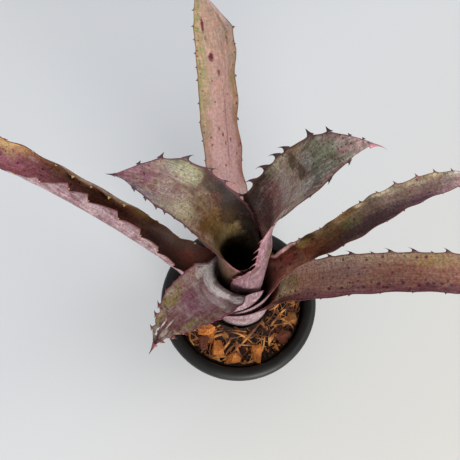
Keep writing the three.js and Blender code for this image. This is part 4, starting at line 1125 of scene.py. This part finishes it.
def make_bed():
    """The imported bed: a ring of crumbled husk round the plant, uneven on top."""
    turns, strips = 200, 44
    bm = bmesh.new()
    bmesh.ops.create_grid(bm, x_segments=turns, y_segments=strips, size=0.5)
    for vert in bm.verts:
        turn, share = (vert.co.x + 0.5) * 2 * math.pi, vert.co.y + 0.5
        point = bed_point(turn, share, 0)
        crumble = noise.fractal(point * 260, 1.0, 2.2, 4) * 1.6 * MM
        rough = crumble + noise.noise(point * 70) * 1.2 * MM
        # Nothing rises above the frame's bed, which falls a little towards the pot.
        vert.co = point + Vector((0, 0, min(rough, 1.4 * MM) - 1.2 * MM - 1.5 * MM * share**3))
    bmesh.ops.remove_doubles(bm, verts=bm.verts[:], dist=1e-6)
    rim_edges = [edge for edge in bm.edges if edge.is_boundary]
    walls = bmesh.ops.extrude_edge_only(bm, edges=rim_edges)["geom"]
    for vert in only_verts(walls):
        vert.co.z = MIX_TOP - BED_DEPTH
    bmesh.ops.bridge_loops(bm, edges=[edge for edge in bm.edges if edge.is_boundary])
    bmesh.ops.recalc_face_normals(bm, faces=bm.faces[:])
    dark = husk_finish("bed_crumble", rgb(66, 38, 22), rgb(14, 9, 6))
    link_piece("mix_bed", mesh_from(bm, "mix_bed"), [dark], ["growing_mix"])


def only_verts(items):
    return [item for item in items if isinstance(item, bmesh.types.BMVert)]


def spun(dice, axis, most):
    """A full turn about Z by chance, after a tip of up to most about another axis."""
    turned = Matrix.Rotation(dice.uniform(0, 6.3), 4, "Z")
    return turned @ Matrix.Rotation(dice.uniform(-most, most), 4, axis)


def rough_chip(place, size, dice, cuts):
    """One torn chunk of husk: an angular block, its faces split along the fibres."""
    bm = bmesh.new()
    for _ in range(12):
        corner = Vector([dice.uniform(-1, 1) for _ in range(3)])
        corner *= 0.62 / max(0.35, corner.length) if corner.length > 0.62 else 1
        corner.x *= 1.15
        bm.verts.new(corner)
    hull = bmesh.ops.convex_hull(bm, input=bm.verts[:])
    loose = only_verts(hull["geom_interior"] + hull["geom_unused"])
    bmesh.ops.delete(bm, geom=list(set(loose)), context="VERTS")
    low = Vector([min(vert.co[i] for vert in bm.verts) for i in range(3)])
    high = Vector([max(vert.co[i] for vert in bm.verts) for i in range(3)])
    for vert in bm.verts:
        vert.co = Vector([(vert.co[i] - low[i]) / (high[i] - low[i]) - 0.5 for i in range(3)])
    bmesh.ops.subdivide_edges(bm, edges=bm.edges[:], cuts=cuts, use_grid_fill=True)
    shift = Vector((dice.uniform(0, 50), 0, 0))
    for vert in bm.verts:
        at = vert.co
        torn = noise.noise_vector(Vector((at.x * 1.5, at.y * 5.5, at.z * 5.5)) + shift)
        vert.co = at + torn * 0.1
    bmesh.ops.recalc_face_normals(bm, faces=bm.faces[:])
    bmesh.ops.transform(bm, matrix=place @ Matrix.Diagonal((*size, 1)), verts=bm.verts[:])
    return mesh_from(bm, "chip")


def make_chips():
    """One piece for each chip of the frame, the right size in the right place."""
    dice = random.Random(21)
    bright = husk_finish("husk_bright", rgb(214, 132, 54), rgb(140, 72, 26))
    tan = husk_finish("husk_tan", rgb(190, 128, 66), rgb(120, 74, 36))
    brown = husk_finish("husk_brown", rgb(124, 62, 34), rgb(52, 24, 16))
    finishes = {1: bright, 2: brown, 3: bright, 4: bright, 5: bright, 6: brown, 7: tan}
    names = sorted((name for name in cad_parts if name.startswith("husk_chip_")),
                   key=lambda name: int(name.split("_")[-1]))
    for number, name in enumerate(names, 1):
        low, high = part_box(name)
        middle, span = (low + high) / 2, high - low
        turn = dice.uniform(-0.25, 0.25) + (math.pi / 2 if span.y > span.x else 0)
        long_side, short_side = max(span.x, span.y), min(span.x, span.y)
        tilt = Matrix.Rotation(dice.uniform(-0.2, 0.2), 4, "X")
        tilt = tilt @ Matrix.Rotation(dice.uniform(-0.15, 0.15), 4, "Y")
        sunk = Matrix.Translation(middle - Vector((0, 0, 0.6 * MM)))
        place = sunk @ Matrix.Rotation(turn, 4, "Z") @ tilt
        mesh = rough_chip(place, (long_side * 1.05, short_side * 1.05, span.z * 1.4), dice, 5)
        mesh.name = name + "_looks"
        finish = finishes.get(number) or dice.choice([bright, tan, brown])
        link_piece(name + "_looks", mesh, [finish], [name], smooth=False)
    black = husk_finish("husk_dark", rgb(74, 44, 28), rgb(24, 14, 10))
    return [bright, tan, brown, black]


def make_loose_chips(finishes):
    """The smaller chunks between the big chips, tipped every way."""
    dice = random.Random(44)
    bm = bmesh.new()
    for _ in range(LOOSE_CHIPS):
        turn, share = dice.uniform(0, 2 * math.pi), dice.uniform(0.03, 0.93)
        long_side = dice.uniform(3.5, 9.5) * MM
        size = (long_side, long_side * dice.uniform(0.35, 0.75), long_side * dice.uniform(0.25, 0.5))
        spot = bed_point(turn, share, dice.uniform(-0.2, 2.4) * MM)
        spin = spun(dice, "Y", 0.5)
        index = dice.choice([0, 1, 2, 2, 3, 3])
        chip = rough_chip(Matrix.Translation(spot) @ spin, size, dice, 2)
        start = len(bm.faces)
        bm.from_mesh(chip)
        bm.faces.ensure_lookup_table()
        for face in bm.faces[start:]:
            face.material_index = index
        bpy.data.meshes.remove(chip)
    link_piece("loose_chips", mesh_from(bm, "loose_chips"), finishes, None, smooth=False)


def make_crumbs(finishes):
    """Small broken bits of husk, strewn over the whole bed."""
    dice = random.Random(33)
    bm = bmesh.new()
    for i in range(CRUMBS):
        turn, share = dice.uniform(0, 2 * math.pi), dice.uniform(0.0, 1.0) ** 0.7
        size = dice.uniform(0.7, 2.6) * MM
        spot = bed_point(turn, 0.04 + 0.92 * share, dice.uniform(0.2, 2.2) * MM)
        spin = spun(dice, "X", 0.6)
        shape = Matrix.Diagonal((size, size * dice.uniform(0.4, 0.8), size * dice.uniform(0.3, 0.7), 1))
        made = bmesh.ops.create_icosphere(bm, subdivisions=1, radius=0.6)["verts"]
        for vert in made:
            vert.co += noise.noise_vector(vert.co * 2 + Vector((i, 0, 0))) * 0.25
        bmesh.ops.transform(bm, matrix=Matrix.Translation(spot) @ spin @ shape, verts=made)
        index = dice.choice([0, 1, 2, 3, 3, 3])
        for face in {face for vert in made for face in vert.link_faces}:
            face.material_index = index
    link_piece("husk_crumbs", mesh_from(bm, "husk_crumbs"), finishes, None, smooth=False)


def strand_finish():
    material, tree, shader = new_material("coir_strand")
    spot = node(tree, "TexCoord").outputs["Object"]
    patchy = cloud(tree, spot, 110.0, 2.0, 0.5)
    fine = cloud(tree, spot, 2600.0, 3.0, 0.6)
    tones = [(0.36, rgb(84, 46, 24)), (0.5, rgb(150, 90, 40)), (0.64, rgb(206, 148, 84))]
    colour = gradient(tree, patchy, tones)
    rough = scale_add(tree, fine, 0.2, 0.6)
    finish_shader(tree, shader, colour, rough, fine, bump_depth=0.0002, bump_strength=0.7)
    return material


def add_strand(curve, points, radii):
    spline = curve.splines.new("NURBS")
    spline.points.add(len(points) - 1)
    for point, place, radius in zip(spline.points, points, radii):
        point.co = (*place, 1)
        point.radius = radius
    spline.use_endpoint_u = True
    spline.order_u = 4


def strand_section():
    """The flat oval that every strand is drawn along with."""
    curve = bpy.data.curves.new("strand_section", "CURVE")
    curve.resolution_u = 2
    spline = curve.splines.new("BEZIER")
    spline.bezier_points.add(3)
    for i, point in enumerate(spline.bezier_points):
        angle = math.pi / 2 * i
        point.handle_left_type = point.handle_right_type = "AUTO"
        point.co = (0.62 * MM * math.cos(angle), 0.22 * MM * math.sin(angle), 0)
    spline.use_cyclic_u = True
    return add_object("strand_section", curve)


def make_strands():
    """Loose coir: fine curved fibres lying over the bed in every direction."""
    dice = random.Random(5)
    curve = bpy.data.curves.new("coir_strands", "CURVE")
    curve.dimensions = "3D"
    curve.bevel_mode = "OBJECT"
    curve.bevel_object = strand_section()
    curve.twist_mode = "Z_UP"
    curve.resolution_u = 3
    curve.use_fill_caps = True
    for i in range(STRANDS):
        turn, share = dice.uniform(0, 2 * math.pi), dice.uniform(0.05, 0.93)
        middle = bed_point(turn, share, dice.uniform(-1.5, 0.6) * MM)
        heading = dice.uniform(0, math.pi)
        length = dice.choice([9, 14, 20, 28]) * MM * dice.uniform(0.7, 1.2)
        bow = dice.uniform(-0.25, 0.25)
        girth = dice.choice([0.35, 0.5, 0.8, 1.2, 1.7])
        points, radii = [], []
        for step in range(7):
            s = step / 6 - 0.5
            angle = heading + bow * s * 4
            spot = middle + Vector((math.cos(angle), math.sin(angle), 0)) * s * length
            spot.z += (0.25 - s * s) * dice.uniform(0.5, 5.0) * MM + dice.uniform(-0.2, 0.2) * MM
            from_axis, farthest = math.hypot(spot.x, spot.y), mix_high.x - 1.5 * MM
            if from_axis > farthest:
                spot.xy *= farthest / from_axis
            points.append(spot)
            radii.append(girth * (1.0 - 0.6 * abs(2 * s)))
        if min(math.hypot(p.x - PLANT.x, p.y - PLANT.y) for p in points) < STRAND_CLEARANCE * MM:
            continue
        add_strand(curve, points, radii)
    holder = add_object("coir_strands", curve)
    mesh = applied_mesh(holder)
    bpy.data.objects.remove(curve.bevel_object)
    bpy.data.objects.remove(holder)
    fibres = [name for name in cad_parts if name.startswith("coir_fibre_")]
    link_piece("coir_strands", mesh, [strand_finish()], fibres)


def dress_stem():
    """The stem keeps its own shape and gets a dry, fibrous skin."""
    finish = husk_finish("stem_skin", rgb(150, 118, 84), rgb(90, 64, 42))
    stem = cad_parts["stem"]
    stem.data.materials.clear()
    stem.data.materials.append(finish)


# ------------------------------------------------------------------ floor, lights and camera


def make_floor():
    bm = bmesh.new()
    bmesh.ops.create_grid(bm, x_segments=1, y_segments=1, size=3.0)
    mesh = mesh_from(bm, "floor")
    material, tree, shader = new_material("floor_paper")
    spot = node(tree, "TexCoord").outputs["Object"]
    soft = cloud(tree, spot, 3.0, 2.0)
    axes = node(tree, "SeparateXYZ", {0: spot})
    slanted = calc(tree, "SUBTRACT", axes.outputs[0], axes.outputs[1])
    # Painted shade: the floor is darker towards the right front, where the lamps stand; it is warmer
    # there too.
    painted_shade_towards_window = fade(tree, slanted, -0.3, 0.4)
    colour = mix(tree, soft, rgb(199, 202, 207), rgb(204, 206, 208))
    colour = mix(tree, painted_shade_towards_window, colour, rgb(191, 190, 185))
    tree.links.new(colour, shader.inputs["Base Color"])
    shader.inputs["Roughness"].default_value = 0.8
    mesh.materials.append(material)
    floor = add_object("floor", mesh)


def add_lamp(name, place, aim, size, power, colour):
    lamp = bpy.data.lights.new(name, "AREA")
    lamp.size = size
    lamp.energy = power
    lamp.color = colour
    holder = add_object(name, lamp)
    holder.location = place
    holder.rotation_euler = (Vector(aim) - Vector(place)).to_track_quat("-Z", "Y").to_euler()


def make_lights():
    world = bpy.data.worlds.new("soft_room")
    world.use_nodes = True
    background = world.node_tree.nodes["Background"]
    background.inputs["Color"].default_value = (0.97, 0.98, 1.0, 1)
    background.inputs["Strength"].default_value = 0.72
    bpy.context.scene.world = world
    add_lamp("key_window", place=(1.6, -0.1, 1.5), aim=(0, 0, 0.1), size=1.4, power=16,
             colour=(1.0, 0.985, 0.96))
    add_lamp("front_fill", place=(0.5, -1.7, 0.5), aim=(0, 0, 0.15), size=1.2, power=58,
             colour=(1.0, 0.985, 0.95))


def make_camera():
    camera = bpy.data.cameras.new("camera")
    camera.sensor_width = 36
    camera.lens = 39.13
    holder = add_object("camera", camera)
    holder.location = (-5.9 * MM, -74.8 * MM, 441.5 * MM)
    holder.rotation_euler = (math.radians(20), 0, 0)
    bpy.context.scene.camera = holder


make_camera()
make_lights()
make_floor()
make_pot()
make_bed()
chip_finishes = make_chips()
make_loose_chips(chip_finishes)
make_crumbs(chip_finishes)
make_strands()
dress_stem()
make_leaves()
bpy.context.scene.view_settings.view_transform = "Standard"
